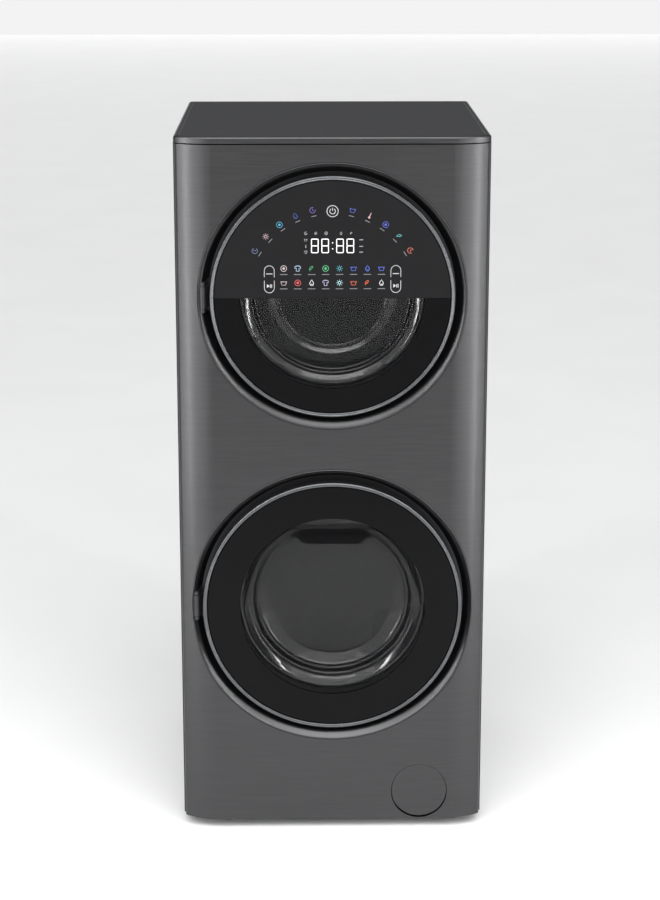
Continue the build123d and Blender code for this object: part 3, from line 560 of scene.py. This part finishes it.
def bare_nodes():
    """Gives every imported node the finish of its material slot."""
    slots = {row["node"]: row.get("material_slot") for row in frame["record"]["subparts"]}
    for name, node in frame["nodes"].items():
        node.data.materials.clear()
        maker = lacquered_well_steel if name.endswith("door_surround") else SLOT_FINISHES[slots[name]]
        node.data.materials.append(finish(maker))


def arc(centre, radius, start, stop, steps):
    """Points of an arc, both ends included, from angles in degrees."""
    turns = [math.radians(start + (stop - start) * step / steps) for step in range(steps + 1)]
    return [(centre[0] + radius * math.cos(a), centre[1] + radius * math.sin(a)) for a in turns]


def lid_outline(inset, low, high):
    """The lid's plan, in metres: a flat front, two swept corners and two round back corners."""
    sweep, tight = SWEEP_RADIUS + LID_OVERHANG, CORNER_RADIUS + LID_OVERHANG
    corner_x, reach = high.x - tight, sweep - tight
    flat = corner_x - reach * math.sin(math.radians(SWEEP_ANGLE))
    corner_y = low.y + sweep - reach * math.cos(math.radians(SWEEP_ANGLE))
    half = arc((flat, low.y + sweep), sweep - inset, -90, SWEEP_ANGLE - 90, 10)
    half += arc((corner_x, corner_y), tight - inset, SWEEP_ANGLE - 90, 0, 6)[1:]
    half += arc((corner_x, high.y - tight), tight - inset, 0, 90, 6)
    return half + [(-x, y) for x, y in reversed(half)]


def build_lid(sizes):
    """Folded lid: brushed lip, rounded edge, a pressed line round a top whose darker enamel is painted
    shade.
    """
    low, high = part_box("top_cover")
    r, border, hem, groove = sizes.rounding, sizes.border, 0.0012, 0.0007
    deepest_inset = CORNER_RADIUS + LID_OVERHANG - 0.0002
    levels = [(hem, low.z), (0.0, low.z), (0.0, high.z - r)]
    for turn in (0.3, 0.6, 0.9, 1.2, math.pi / 2):
        levels.append((r * (1 - math.cos(turn)), high.z - r + r * math.sin(turn)))
    levels += [(border - 0.0004, high.z), (border, high.z - groove), (border + 0.0006, high.z - groove)]
    lid, rows = bmesh.new(), []
    for inset, z in levels:
        plan = lid_outline(min(inset, deepest_inset), low, high)
        rows.append([lid.verts.new((x, y, z)) for x, y in plan])
    for level, (row, following) in enumerate(zip(rows, rows[1:])):
        for index in range(len(row)):
            onward = (index + 1) % len(row)
            face = lid.faces.new((row[index], row[onward], following[onward], following[index]))
            face.material_index = 0 if level < 7 or level == 8 else 1
    lid.faces.new(rows[0])
    lid.faces.new(rows[-1]).material_index = 1
    bmesh.ops.recalc_face_normals(lid, faces=lid.faces)
    # The top's enamel is painted shade: darker than the lip's brushed steel, standing in for how dim the
    # top looks.
    materials = [finish(brushed_titanium_steel), finish(dark_top_enamel)]
    finish_piece("top_lid", lid, materials, "cabinet", ["top_cover"])


def build_screws():
    """Pan-head screws, hollow in the middle, down the back and round the service cover."""
    back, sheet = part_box("rear_panel")[1].y, 0.0012
    edge_x, first, pitch = 0.288, 0.08, 0.16
    places = [(side * edge_x, back, first + pitch * row) for row in range(9) for side in (-1, 1)]
    service = [(x, back + sheet, z) for x in (-0.178, 0.0, 0.178) for z in (0.3, 0.646)]
    profile = [(4.5, 0), (4.5, 0.8), (3.6, 1.9), (2.2, 2.5), (2.0, 1.2)]
    head = round_shape([(radius * MM, z * MM) for radius, z in profile], 12)
    facing_back = (-math.pi / 2, 0, 0)
    mesh = scatter("back_screws", places + service, head, finish(zinc_plated_steel), facing_back)
    finish_piece("back_screw_heads", mesh, [], "cabinet", ["panel_screws"])


def build_louvres():
    """Pressed hoods over the dryer's rear vents."""
    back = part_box("rear_panel")[1].y
    hood = bmesh.new()
    half, top, rise, depth, sheet = 0.047, 0.0055, 0.0085, 0.0042, 0.0007
    columns, steps = 12, 5
    for shrink in (0.0, sheet):
        rows = []
        for column in range(columns + 1):
            u = -1 + 2 * column / columns
            belly = math.sqrt(max(0.0, 1 - abs(u) ** 3))
            row = []
            for step in range(steps + 1):
                a = math.pi / 2 * step / steps
                y = (depth - shrink) * belly * math.sin(a)
                z = top - shrink - (rise - shrink) * (1 - math.cos(a))
                row.append(hood.verts.new((u * (half - shrink), y, z)))
            rows.append(row)
        for row, following in zip(rows, rows[1:]):
            for step in range(steps):
                hood.faces.new((row[step], row[step + 1], following[step + 1], following[step]))
    hood.edges.ensure_lookup_table()
    bmesh.ops.bridge_loops(hood, edges=[e for e in hood.edges if e.is_boundary])
    bmesh.ops.remove_doubles(hood, verts=hood.verts, dist=1e-6)
    bmesh.ops.recalc_face_normals(hood, faces=hood.faces)
    aside, lowest, pitch = 0.12, 0.985, 0.018
    places = [(x, back, lowest + pitch * row) for row in range(12) for x in (-aside, 0.0, aside)]
    mesh = scatter("vent_hoods", places, hood, finish(galvanised_sheet))
    finish_piece("rear_vent_hoods", mesh, [], "cabinet")


def build_well_lips():
    """Rolled bead and bevel where each door well meets the swept front."""
    panel_low, panel_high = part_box("front_panel")
    reach_in = (SWEEP_RADIUS - CORNER_RADIUS) * math.sin(math.radians(SWEEP_ANGLE))
    flat = panel_high.x - CORNER_RADIUS - reach_in
    for door in DOORS:
        height, lip = door_height(door), bmesh.new()
        rows = []
        for step in range(TURN_STEPS):
            turn = 2 * math.pi * step / TURN_STEPS
            well = reach = DOORS[door]["well"] * MM
            # Where the front sweeps back the well is narrower, so its edge is found in a few passes.
            for _ in range(6):
                beyond = max(0.0, abs(reach * math.cos(turn)) - flat)
                recess = SWEEP_RADIUS - math.sqrt(SWEEP_RADIUS**2 - beyond**2)
                reach = well - WELL_TAPER * recess
            row, widen = [], 1 + LIP_SAG * max(0.0, -math.sin(turn))
            for inward, deeper in LIP_SECTION:
                if inward > LIP_BEAD:
                    inward, deeper = inward * widen, deeper * widen
                radius, y = reach - inward * MM, panel_low.y + recess + deeper * MM
                row.append(lip.verts.new((radius * math.cos(turn), y, height + radius * math.sin(turn))))
            rows.append(row)
        for row, following in zip(rows, rows[1:] + rows[:1]):
            for side in range(len(LIP_SECTION)):
                onward = (side + 1) % len(LIP_SECTION)
                lip.faces.new((row[side], row[onward], following[onward], following[side]))
        bmesh.ops.recalc_face_normals(lip, faces=lip.faces)
        steel = [finish(brushed_titanium_steel)]
        finish_piece(door + "_well_lip", lip, steel, "cabinet")


# ---------------------------------------------------------------- doors


# Radius of the well, and the bowl's inside as (radius, depth) from the rim to the middle, in millimetres.
DOORS = {
    "upper": {
        "well": 257,
        "bowl": [(173, 0), (171, 3), (160, 10), (157, 8.6), (154, 10), (150, 17), (124, 19), (121, 17.6),
                 (118, 19), (110, 23), (107, 21.6), (104, 25), (40, 27), (0, 27)],
    },
    "lower": {
        "well": 279,
        "bowl": [(178, 0), (176, 3), (164, 14), (159, 13), (156, 15), (151, 26), (147, 27), (144, 25.6),
                 (141, 28), (122, 38), (60, 43), (0, 43)],
    },
}
# Thickness of the bowls' glass, and how far their flanges reach out.
BOWL_WALL = 0.0048
# A ring's section as (inward, behind its crown), in millimetres, round from its back.
RING_SECTION = [(8.5, None), (8.5, 2.2), (6.9, 0.2), (4.8, 1.4), (3.0, 0.0), (0.4, 2.2), (0.0, None)]
# Section of the well's edge, in millimetres inward and deeper from where the well meets the front.
LIP_SECTION = [
    (-0.7, 0.3), (-0.5, -0.2), (-0.1, -0.45), (0.4, -0.3), (0.8, 0.3),
    (3.2, 2.1), (5.6, 3.9), (8.0, 5.8), (8.5, 7.0), (6.2, 11.5), (0.3, 1.0),
]
# The bevel, inward of the bead, is this much wider at the foot of the well.
LIP_BEAD, LIP_SAG = 1.0, 0.7
FLANGE, FLANGE_THICKNESS = 0.0118, 0.004
# The washer bowl's flat starts this far over its middle and falls this steeply towards the drum.
FLAT_RISE, FLAT_SLOPE = 0.158, 1.5


def door_height(door):
    """Height of a door's middle."""
    low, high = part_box(door + "_door_ring")
    return (low.z + high.z) / 2


def build_rings(sizes):
    """Satin rings with two soft crowns and a shallow valley between them."""
    for door in DOORS:
        low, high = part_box(door + "_door_ring")
        outline = []
        for inward, behind in RING_SECTION:
            y = high.y if behind is None else low.y + behind * MM
            outline.append((high.x - inward * MM, y))
        ring = lathe(soften(outline, sizes.bead), door_height(door))
        chrome, node = [finish(satin_chrome)], door + "_door_ring"
        finish_piece(door + "_trim_ring", ring, chrome, door + "_door", [node])


def glass_shape(door, sizes):
    """The door's domed disc; faces inside the window get the second material."""
    low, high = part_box(door + "_door_glass")
    front, back, edge = low.y, high.y, high.x
    window = getattr(sizes, door + "_window")
    radii = [edge - 0.0015, window, *[window * step / 8 for step in range(7, 0, -1)]]
    skin = [(r, front - sizes.dome * (1 - (r / edge) ** 2)) for r in radii]
    outline = [(0, back), (window, back), (edge, back), (edge, front + 0.0012), *skin]
    height = door_height(door)
    shape = lathe(outline + [(0, front - sizes.dome)], height)
    for face in shape.faces:
        centre = face.calc_center_median()
        face.material_index = int(math.hypot(centre.x, centre.z - height) < window)
    return shape


def build_glasses(sizes):
    """Lower door: one disc. Upper door: its lower half, and the panel above it."""
    glass = [finish(black_printed_glass), finish(smoked_glass)]
    lower = glass_shape("lower", sizes)
    finish_piece("lower_front_glass", lower, glass, "lower_door", ["lower_door_glass"])
    split, seam = door_height("upper"), 0.0002
    upper = keep_half(glass_shape("upper", sizes), split - seam, False)
    finish_piece("upper_front_glass", upper, glass, "upper_door", ["upper_door_glass"])
    panel = keep_half(glass_shape("upper", sizes), split + seam, True)
    for face in panel.faces:
        face.material_index = 0
    charcoal = [finish(grey_printed_glass)]
    finish_piece("control_panel_glass", panel, charcoal, "upper_door", ["control_panel"])


def build_bowls():
    """Pressed bowls in steps; the washer's has a slanted flat that drops laundry back."""
    for door, given in DOORS.items():
        back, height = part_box(door + "_door_bowl")[0].y, door_height(door)
        inside = [(r * MM, back + depth * MM) for r, depth in given["bowl"]]
        outside = [(r + BOWL_WALL * 0.7, y + BOWL_WALL * 0.7) for r, y in inside[1:-1]]
        outside += [(0, inside[-1][1] + BOWL_WALL)]
        rim, flange_back = inside[0][0], back + FLANGE_THICKNESS
        flange = [(rim + 0.004, flange_back), (rim + FLANGE, flange_back), (rim + FLANGE, back)]
        outline = inside + outside[::-1] + flange
        bowl = lathe(soften(outline, 0.0026, steps=4), height)
        if door == "lower":
            for vert in bowl.verts:
                depth = vert.co.y - flange_back
                if depth > 0:
                    vert.co.z = min(vert.co.z, height + FLAT_RISE - FLAT_SLOPE * depth)
        glass, node = [finish(pressed_glass)], door + "_door_bowl"
        finish_piece(door + "_glass_bowl", bowl, glass, door + "_door", [node])


# ---------------------------------------------------------------- control panel marks


class PanelMarks:
    """Flat marks laid on the domed panel, in millimetres from the door's middle, as one piece."""

    def __init__(self, door_sizes):
        """Starts empty, on the upper door's glass."""
        low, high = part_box("control_panel")
        self.height, self.edge, self.front = door_height("upper"), high.x, low.y
        self.dome, self.shape, self.ink = door_sizes.dome, bmesh.new(), 0

    def vertex(self, x, z):
        """A point just proud of the domed glass."""
        radius = math.hypot(x, z) * MM / self.edge
        y = self.front - self.dome * (1 - radius**2) - 0.00002
        return self.shape.verts.new((x * MM, y, self.height + z * MM))

    def fill(self, points):
        """A filled outline."""
        self.shape.faces.new([self.vertex(*p) for p in points]).material_index = self.ink

    def stroke(self, points, width, closed=False):
        """A line of even width."""
        sides, last = [], len(points) - 1
        for index, point in enumerate(points):
            before = Vector(points[index - 1] if closed or index else point)
            after = Vector(points[0 if closed and index == last else min(index + 1, last)])
            way = (after - before).normalized()
            off = Vector((-way.y, way.x)) * width / 2
            sides.append([self.vertex(point[0] + s * off.x, point[1] + s * off.y) for s in (1, -1)])
        for one, other in zip(sides, sides[1:] + (sides[:1] if closed else [])):
            self.shape.faces.new((one[0], one[1], other[1], other[0])).material_index = self.ink

    def finished(self):
        """The marks, given the thickness of the ink."""
        made = bmesh.ops.extrude_face_region(self.shape, geom=list(self.shape.faces))
        raised = [v for v in made["geom"] if isinstance(v, bmesh.types.BMVert)]
        bmesh.ops.translate(self.shape, verts=raised, vec=(0, -0.00018, 0))
        bmesh.ops.recalc_face_normals(self.shape, faces=self.shape.faces)
        return self.shape


def around(x, z, radius, start=0, stop=360, steps=20):
    """Points of an arc about (x, z)."""
    points = arc((x, z), radius, start, stop, steps)
    return points[:-1] if stop - start == 360 else points


def sign(marks, kind, x, z, size, width, lean=0.0):
    """One small programme sign of a plain, general shape."""
    turned = Matrix.Rotation(math.radians(lean), 2)

    def put(points):
        """Points of the sign, turned, sized and moved to where it stands."""
        return [tuple(Vector((x, z)) + turned @ Vector(p) * size) for p in points]

    if kind == "ring":
        marks.stroke(put(around(0, 0, 0.95)), width, True)
        marks.fill(put(around(0, 0, 0.4, steps=12)))
    elif kind == "drop":
        half = [(0, 1.0), (0.55, 0.15), (0.6, -0.35), (0.3, -0.85)]
        marks.stroke(put(half + [(-x, z) for x, z in reversed(half[1:])]), width, True)
        marks.stroke(put([(-0.25, -0.4), (0.2, -0.5)]), width * 0.8)
    elif kind == "basket":
        marks.stroke(put([(-0.95, 0.5), (-0.6, -0.75), (0.6, -0.75), (0.95, 0.5)]), width)
        wave = [(-0.8 + 0.2 * k, 0.35 + 0.16 * (-1) ** k) for k in range(9)]
        marks.stroke(put(wave), width)
    elif kind == "sun":
        marks.stroke(put(around(0, 0, 0.45, steps=14)), width, True)
        for k in range(8):
            a = math.radians(45 * k)
            ray = [(0.7 * math.cos(a), 0.7 * math.sin(a)), (1.05 * math.cos(a), 1.05 * math.sin(a))]
            marks.stroke(put(ray), width * 0.8)
    elif kind == "leaf":
        marks.stroke(put(around(0.35, -0.35, 1.1, 90, 180, 8)), width)
        marks.stroke(put(around(-0.75, 0.75, 1.1, 270, 360, 8)), width)
        marks.stroke(put([(-0.75, -0.8), (0.2, 0.3)]), width * 0.8)
    elif kind == "shirt":
        half = [(0.3, 0.85), (0.85, 0.6), (0.95, 0.0), (0.45, 0.15), (0.45, -0.9)]
        marks.stroke(put([(-x, z) for x, z in reversed(half)] + half), width, True)
    elif kind == "gauge":
        marks.stroke(put([(0, 1.0), (0, -0.2)]), width * 1.5)
        marks.fill(put(around(0, -0.6, 0.38, steps=12)))
    else:
        marks.stroke(put(around(0, 0, 0.9, 60, 360, 16)), width)
        marks.stroke(put([(0, 0.55), (0, 0), (0.4, -0.25)]), width)


ARC_SIGNS = [
    ("clock", "#56607c"), ("sun", "#a08a90"), ("ring", "#3f7f9a"), ("drop", "#3c4784"),
    ("clock", "#5f4c8a"), ("basket", "#454e92"), ("gauge", "#a9868a"), ("ring", "#494f9c"),
    ("leaf", "#4b8d8c"), ("clock", "#a65a48"),
]
ROW_SIGNS = [
    ("ring", "#a79a9c"), ("shirt", "#9fb0c8"), ("leaf", "#3f8a62"), ("ring", "#4a9a6c"),
    ("sun", "#4a8f98"), ("basket", "#4558a2"), ("drop", "#4d63b4"), ("basket", "#4a5bab"),
    ("basket", "#a39296"), ("ring", "#b04a48"), ("drop", "#c4c4c8"), ("shirt", "#a8a4c0"),
    ("sun", "#9cc0c4"), ("basket", "#b0553c"), ("leaf", "#b34e3a"), ("drop", "#c6c6c6"),
]
LABEL_GREY = "#6c6c6f"
# The arc of signs, in degrees from straight up, and the two rows below it; millimetres.
ARC_RADIUS, ARC_START, ARC_STEP = 173, 12.6, 11.35
COLUMN_PITCH, ROW_Z, ROW_PITCH = 26.4, 57.7, 27.6
DASH_DROP = 11.5
DIGIT_X = (-33.5, -14.0, 14.0, 33.5)
DIGIT_Z = 101.0
POWER_Z, PILL_X = 167, 119.7


def build_signs(sizes, door_sizes):
    """Coloured programme signs with a plain dash under each."""
    width, size = sizes.stroke / MM, sizes.sign / MM
    marks = PanelMarks(door_sizes)
    inks = [printed_ink("label_ink", (LABEL_GREY, LABEL_GREY), 0.0)]

    def place(kind, colour, x, z, lean, dash):
        """One sign in its own ink, with its dash."""
        inks.append(printed_ink(f"sign_ink_{len(inks)}", (colour, colour), 0.0))
        marks.ink = len(inks) - 1
        sign(marks, kind, x, z, size, width, lean)
        marks.ink = 0
        down = Vector((math.sin(math.radians(lean)), -math.cos(math.radians(lean))))
        along = Vector((-down.y, down.x)) * dash / 2
        middle = Vector((x, z)) + down * DASH_DROP
        marks.stroke([tuple(middle - along), tuple(middle + along)], 1.2)

    for index, (kind, colour) in enumerate(ARC_SIGNS):
        step = 4 - index if index < 5 else index - 5
        lean = (ARC_START + ARC_STEP * step) * (1 if index < 5 else -1)
        angle = math.radians(90 + lean)
        x, z = ARC_RADIUS * math.cos(angle), ARC_RADIUS * math.sin(angle)
        place(kind, colour, x, z, lean, 10)
    for index, (kind, colour) in enumerate(ROW_SIGNS):
        row, column = divmod(index, 8)
        place(kind, colour, (column - 3.5) * COLUMN_PITCH, ROW_Z - ROW_PITCH * row, 0, 14)
    finish_piece("programme_signs", marks.finished(), inks, "upper_door")


def build_digits(sizes, door_sizes):
    """Lit display: four seven-bar digits, a colon and the small status lamps."""
    marks = PanelMarks(door_sizes)
    half_w, half_h, bar = 6.3, 13.0, 1.7
    lit = bar / 2
    for x in DIGIT_X:
        ends = [((-half_w, z), (half_w, z)) for z in (half_h, 0, -half_h)]
        ends += [((s * half_w, t * half_h), (s * half_w, 0)) for s in (-1, 1) for t in (-1, 1)]
        for (x0, z0), (x1, z1) in ends:
            way = (Vector((x1, z1)) - Vector((x0, z0))).normalized()
            start, end = Vector((x0, z0)) + way * lit * 1.1, Vector((x1, z1)) - way * lit * 1.1
            off = Vector((-way.y, way.x)) * lit
            tips = [start - way * lit, start + off, end + off, end + way * lit, end - off, start - off]
            marks.fill([(x + p.x, DIGIT_Z + p.y) for p in tips])
    for z in (95.3, 106.8):
        marks.fill(around(0, z, 1.2, steps=10))
    marks.ink = 1
    lamps = [(x, 125.0) for x in (-50.5, -31.7, -12.2, 16.0, 35.6)]
    lamps += [(-50.5, z) for z in (112.5, 100.0, 89.0)]
    kinds = ("clock", "sun", "ring", "drop", "leaf", "basket", "gauge", "shirt")
    for kind, (x, z) in zip(kinds, lamps):
        sign(marks, kind, x, z, 2.9, 0.8)
    for z in (112.5, 100.0, 89.0):
        marks.stroke([(50.5, z), (57.5, z)], 1.4)
    glow = {"Emission Color": (*sizes.white, 1.0), "Emission Strength": sizes.glow}
    lit_ink = grained("lit_digits", ("#c8c8c8", "#d6d6d6"), (0.3, 0.4), (5, 5, 5), 0.0, glow)
    dim_ink = printed_ink("lamp_ink", ("#77777a", "#8a8a8d"), 0.2)
    finish_piece("display_digits", marks.finished(), [lit_ink, dim_ink], "upper_door")


def build_touch_keys(sizes, door_sizes):
    """Power key and the two split pill keys, drawn as fine outlines."""
    marks = PanelMarks(door_sizes)
    marks.stroke(around(0, POWER_Z, 10.6, steps=40), 1.2, True)
    marks.stroke(around(0, POWER_Z, 5.2, 125, 415, 24), 1.2)
    marks.stroke([(0, POWER_Z + 6.5), (0, POWER_Z + 0.5)], 1.2)
    for x in (-PILL_X, PILL_X):
        arch = [(x + 9.4, 41), *around(x, 53.6, 9.4, 0, 180, 16), (x - 9.4, 41)]
        cup = [(x - 9.4, 34.5), *around(x, 20.4, 9.4, 180, 360, 16), (x + 9.4, 34.5)]
        marks.stroke(arch, 1.0)
        marks.stroke(cup, 1.0)
        marks.stroke([(x - 6, 47.5), (x + 6, 47.5)], 1.5)
        marks.fill([(x - 4.6, 27.6), (x - 4.6, 20.4), (x + 0.6, 24)])
        for bar in (1.8, 4.4):
            marks.stroke([(x + bar, 27.4), (x + bar, 20.6)], 1.3)
    ink = printed_ink("key_ink", ("#9a9a9c", "#a9a9ab"), 0.1)
    finish_piece("touch_key_outlines", marks.finished(), [ink], "upper_door")


# ---------------------------------------------------------------- drums


def build_perforations(sizes):
    """Drain holes round the washer's drum, as thin near-black discs of painted shadow on its wall, not
    openings.
    """
    low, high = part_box("washer_drum")
    height, wall = (low.z + high.z) / 2, high.x - 0.0016
    count = round(2 * math.pi * wall / sizes.pitch)
    places = []
    for row in range(int((high.y - low.y - 0.05) / sizes.pitch)):
        y = low.y + 0.03 + row * sizes.pitch
        for step in range(count):
            angle = 2 * math.pi * (step + 0.5 * (row % 2)) / count
            places.append((wall * math.cos(angle), y, height + wall * math.sin(angle)))
    # Each hole is a disc of painted shadow, not a cut in the sheet.
    disc = round_shape([(sizes.hole, -0.0003), (sizes.hole, 0.0003)], 8)
    mesh = scatter("washer_holes", places, disc, finish(punched_shadow), axis_height=height)
    finish_piece("washer_drum_holes", mesh, [], "washer_drum")


# ---------------------------------------------------------------- studio

# The camera's tilt and turn in degrees, its place, and its lens.
CAMERA_ANGLES = (13.46, 0.79)
CAMERA_PLACE = (-0.056, -4.1315, 1.889)
SENSOR_WIDTH, FOCAL_LENGTH = 36, 82.5
LENS_SHIFT = (-0.001, -0.0996)
# Point that every softbox faces.
AIM = (0, 0, 0.75)


def paper_sweep():
    """Painted paper: matt and nearly white."""
    return grained("paper_sweep", ("#dedede", "#e4e4e4"), (0.6, 0.75), (400, 400, 400), 0.0)


def lit_screen():
    """White cloth lit from behind."""
    glow = {"Emission Color": linear("#f5f5f5"), "Emission Strength": 0.95}
    return grained("lit_screen", ("#0a0a0a", "#0c0c0c"), (0.8, 0.9), (400, 400, 400), 0.0, glow)


def stage_sheet(name, corners, material):
    """A flat sheet of the studio."""
    sheet = bpy.data.meshes.new(name)
    sheet.from_pydata(corners, [], [(0, 1, 2, 3)])
    sheet.materials.append(material)
    scenery = bpy.data.objects.new(name, sheet)
    bpy.context.scene.collection.objects.link(scenery)


def soft_light(name, place, size, watts):
    """A rectangular softbox, hidden from the camera, that faces AIM."""
    light = bpy.data.lights.new(name, "AREA")
    light.shape = "RECTANGLE"
    light.size, light.size_y = size
    light.energy = watts
    lamp = bpy.data.objects.new(name, light)
    lamp.location = place
    lamp.visible_camera = False
    lamp.rotation_euler = (Vector(AIM) - Vector(place)).to_track_quat("-Z", "Y").to_euler()
    bpy.context.scene.collection.objects.link(lamp)


def build_studio(sizes):
    """Pale floor, lit screen, softboxes, tubes, light from above and the camera."""
    half = sizes.floor / 2
    level = [(-half, -half, 0), (half, -half, 0), (half, half, 0), (-half, half, 0)]
    upright = [(-half, half, 0), (half, half, 0), (half, half, sizes.screen), (-half, half, sizes.screen)]
    stage_sheet("studio_floor", level, paper_sweep())
    stage_sheet("studio_screen", upright, lit_screen())
    world = bpy.data.worlds.new("studio_sky")
    bpy.context.scene.world = world
    world.use_nodes = True
    sky = world.node_tree.nodes["Background"]
    sky.inputs["Color"].default_value = linear("#f4f5f6")
    sky.inputs["Strength"].default_value = sizes.sky
    for side in (-1, 1):
        soft_light("strip", (1.45 * side, -1.8, 1.25), (1.7, 2.4), sizes.strip)
        soft_light("tube", (1.6 * side, -1.25, 1.25), (0.1, 2.4), sizes.tube)
    soft_light("key", (0, -2.4, 3.1), (2.2, 0.9), sizes.key)
    ceiling = bpy.data.lights.new("ceiling", "SUN")
    ceiling.energy, ceiling.angle = sizes.ceiling, math.radians(70)
    panel = bpy.data.objects.new("ceiling", ceiling)
    panel.rotation_euler = (math.radians(32), 0, 0)
    bpy.context.scene.collection.objects.link(panel)
    bpy.context.scene.view_settings.view_transform = "Standard"
    camera = bpy.data.objects.new("camera", bpy.data.cameras.new("camera"))
    pitch, yaw = map(math.radians, CAMERA_ANGLES)
    camera.location = CAMERA_PLACE
    ahead = Vector((math.sin(yaw) * math.cos(pitch), math.cos(yaw) * math.cos(pitch), -math.sin(pitch)))
    camera.rotation_euler = ahead.to_track_quat("-Z", "Y").to_euler()
    camera.data.sensor_width, camera.data.lens = SENSOR_WIDTH, FOCAL_LENGTH
    camera.data.shift_x, camera.data.shift_y = LENS_SHIFT
    bpy.context.scene.collection.objects.link(camera)
    bpy.context.scene.camera = camera


# ---------------------------------------------------------------- operators


class LAUNDRY_OT_node_finishes(bpy.types.Operator):
    """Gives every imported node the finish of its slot"""

    bl_idname = "laundry.node_finishes"
    bl_label = "Node Finishes"

    def execute(self, context):
        bare_nodes()
        return {"FINISHED"}


class LAUNDRY_OT_lid(bpy.types.Operator):
    """Builds the folded lid"""

    bl_idname = "laundry.lid"
    bl_label = "Lid"

    def execute(self, context):
        build_lid(context.scene.laundry_lid)
        return {"FINISHED"}


class LAUNDRY_OT_screws(bpy.types.Operator):
    """Builds the screws of the back"""

    bl_idname = "laundry.screws"
    bl_label = "Back Screws"

    def execute(self, context):
        build_screws()
        return {"FINISHED"}


class LAUNDRY_OT_louvres(bpy.types.Operator):
    """Builds the hoods over the rear vents"""

    bl_idname = "laundry.louvres"
    bl_label = "Vent Hoods"

    def execute(self, context):
        build_louvres()
        return {"FINISHED"}


class LAUNDRY_OT_well_lips(bpy.types.Operator):
    """Builds the rolled lips of the door wells"""

    bl_idname = "laundry.well_lips"
    bl_label = "Well Lips"

    def execute(self, context):
        build_well_lips()
        return {"FINISHED"}


class LAUNDRY_OT_rings(bpy.types.Operator):
    """Builds both doors' trim rings"""

    bl_idname = "laundry.rings"
    bl_label = "Door Rings"

    def execute(self, context):
        build_rings(context.scene.laundry_door)
        return {"FINISHED"}


class LAUNDRY_OT_glasses(bpy.types.Operator):
    """Builds the front glasses and the control panel's glass"""

    bl_idname = "laundry.glasses"
    bl_label = "Front Glasses"

    def execute(self, context):
        build_glasses(context.scene.laundry_door)
        return {"FINISHED"}


class LAUNDRY_OT_bowls(bpy.types.Operator):
    """Builds both doors' pressed glass bowls"""

    bl_idname = "laundry.bowls"
    bl_label = "Door Bowls"

    def execute(self, context):
        build_bowls()
        return {"FINISHED"}


class LAUNDRY_OT_panel_marks(bpy.types.Operator):
    """Builds the signs, the digits and the touch keys"""

    bl_idname = "laundry.panel_marks"
    bl_label = "Panel Marks"

    def execute(self, context):
        keys, door = context.scene.laundry_keys, context.scene.laundry_door
        build_signs(keys, door)
        build_digits(keys, door)
        build_touch_keys(keys, door)
        return {"FINISHED"}


class LAUNDRY_OT_perforations(bpy.types.Operator):
    """Builds the washer drum's holes"""

    bl_idname = "laundry.perforations"
    bl_label = "Drum Holes"

    def execute(self, context):
        build_perforations(context.scene.laundry_drum)
        return {"FINISHED"}


class LAUNDRY_OT_studio(bpy.types.Operator):
    """Builds the floor, the light and the camera"""

    bl_idname = "laundry.studio"
    bl_label = "Studio"

    def execute(self, context):
        build_studio(context.scene.laundry_studio)
        return {"FINISHED"}


PROPERTY_GROUPS = {
    "laundry_door": LaundryDoorSizes,
    "laundry_lid": LaundryLidSizes,
    "laundry_keys": LaundryKeySizes,
    "laundry_drum": LaundryDrumSizes,
    "laundry_studio": LaundryStudioSizes,
}
OPERATORS = [
    LAUNDRY_OT_node_finishes,
    LAUNDRY_OT_lid,
    LAUNDRY_OT_screws,
    LAUNDRY_OT_louvres,
    LAUNDRY_OT_well_lips,
    LAUNDRY_OT_rings,
    LAUNDRY_OT_glasses,
    LAUNDRY_OT_bowls,
    LAUNDRY_OT_panel_marks,
    LAUNDRY_OT_perforations,
    LAUNDRY_OT_studio,
]


class LAUNDRY_PT_tower(bpy.types.Panel):
    """Lists the tower's sizes and pieces"""

    bl_label = "Laundry Tower"
    bl_idname = "LAUNDRY_PT_tower"
    bl_space_type = "VIEW_3D"
    bl_region_type = "UI"
    bl_category = "Laundry Tower"

    def draw(self, context):
        for name, group in PROPERTY_GROUPS.items():
            box = self.layout.box()
            for size in group.__annotations__:
                box.prop(getattr(context.scene, name), size)
        for operator in OPERATORS:
            self.layout.operator(operator.bl_idname)


def register():
    """Adds the sizes, the operators and the panel to Blender."""
    for kind in (*PROPERTY_GROUPS.values(), *OPERATORS, LAUNDRY_PT_tower):
        bpy.utils.register_class(kind)
    for name, group in PROPERTY_GROUPS.items():
        setattr(bpy.types.Scene, name, bpy.props.PointerProperty(type=group))


def unregister():
    """Takes them away again."""
    for name in PROPERTY_GROUPS:
        delattr(bpy.types.Scene, name)
    for kind in reversed((*PROPERTY_GROUPS.values(), *OPERATORS, LAUNDRY_PT_tower)):
        bpy.utils.unregister_class(kind)


def main():
    """Adds the sizes, the operators and the panel, then builds every piece and the studio."""
    register()
    for operator in OPERATORS:
        getattr(bpy.ops.laundry, operator.bl_idname.split(".")[1])()


if __name__ == "__main__":
    main()
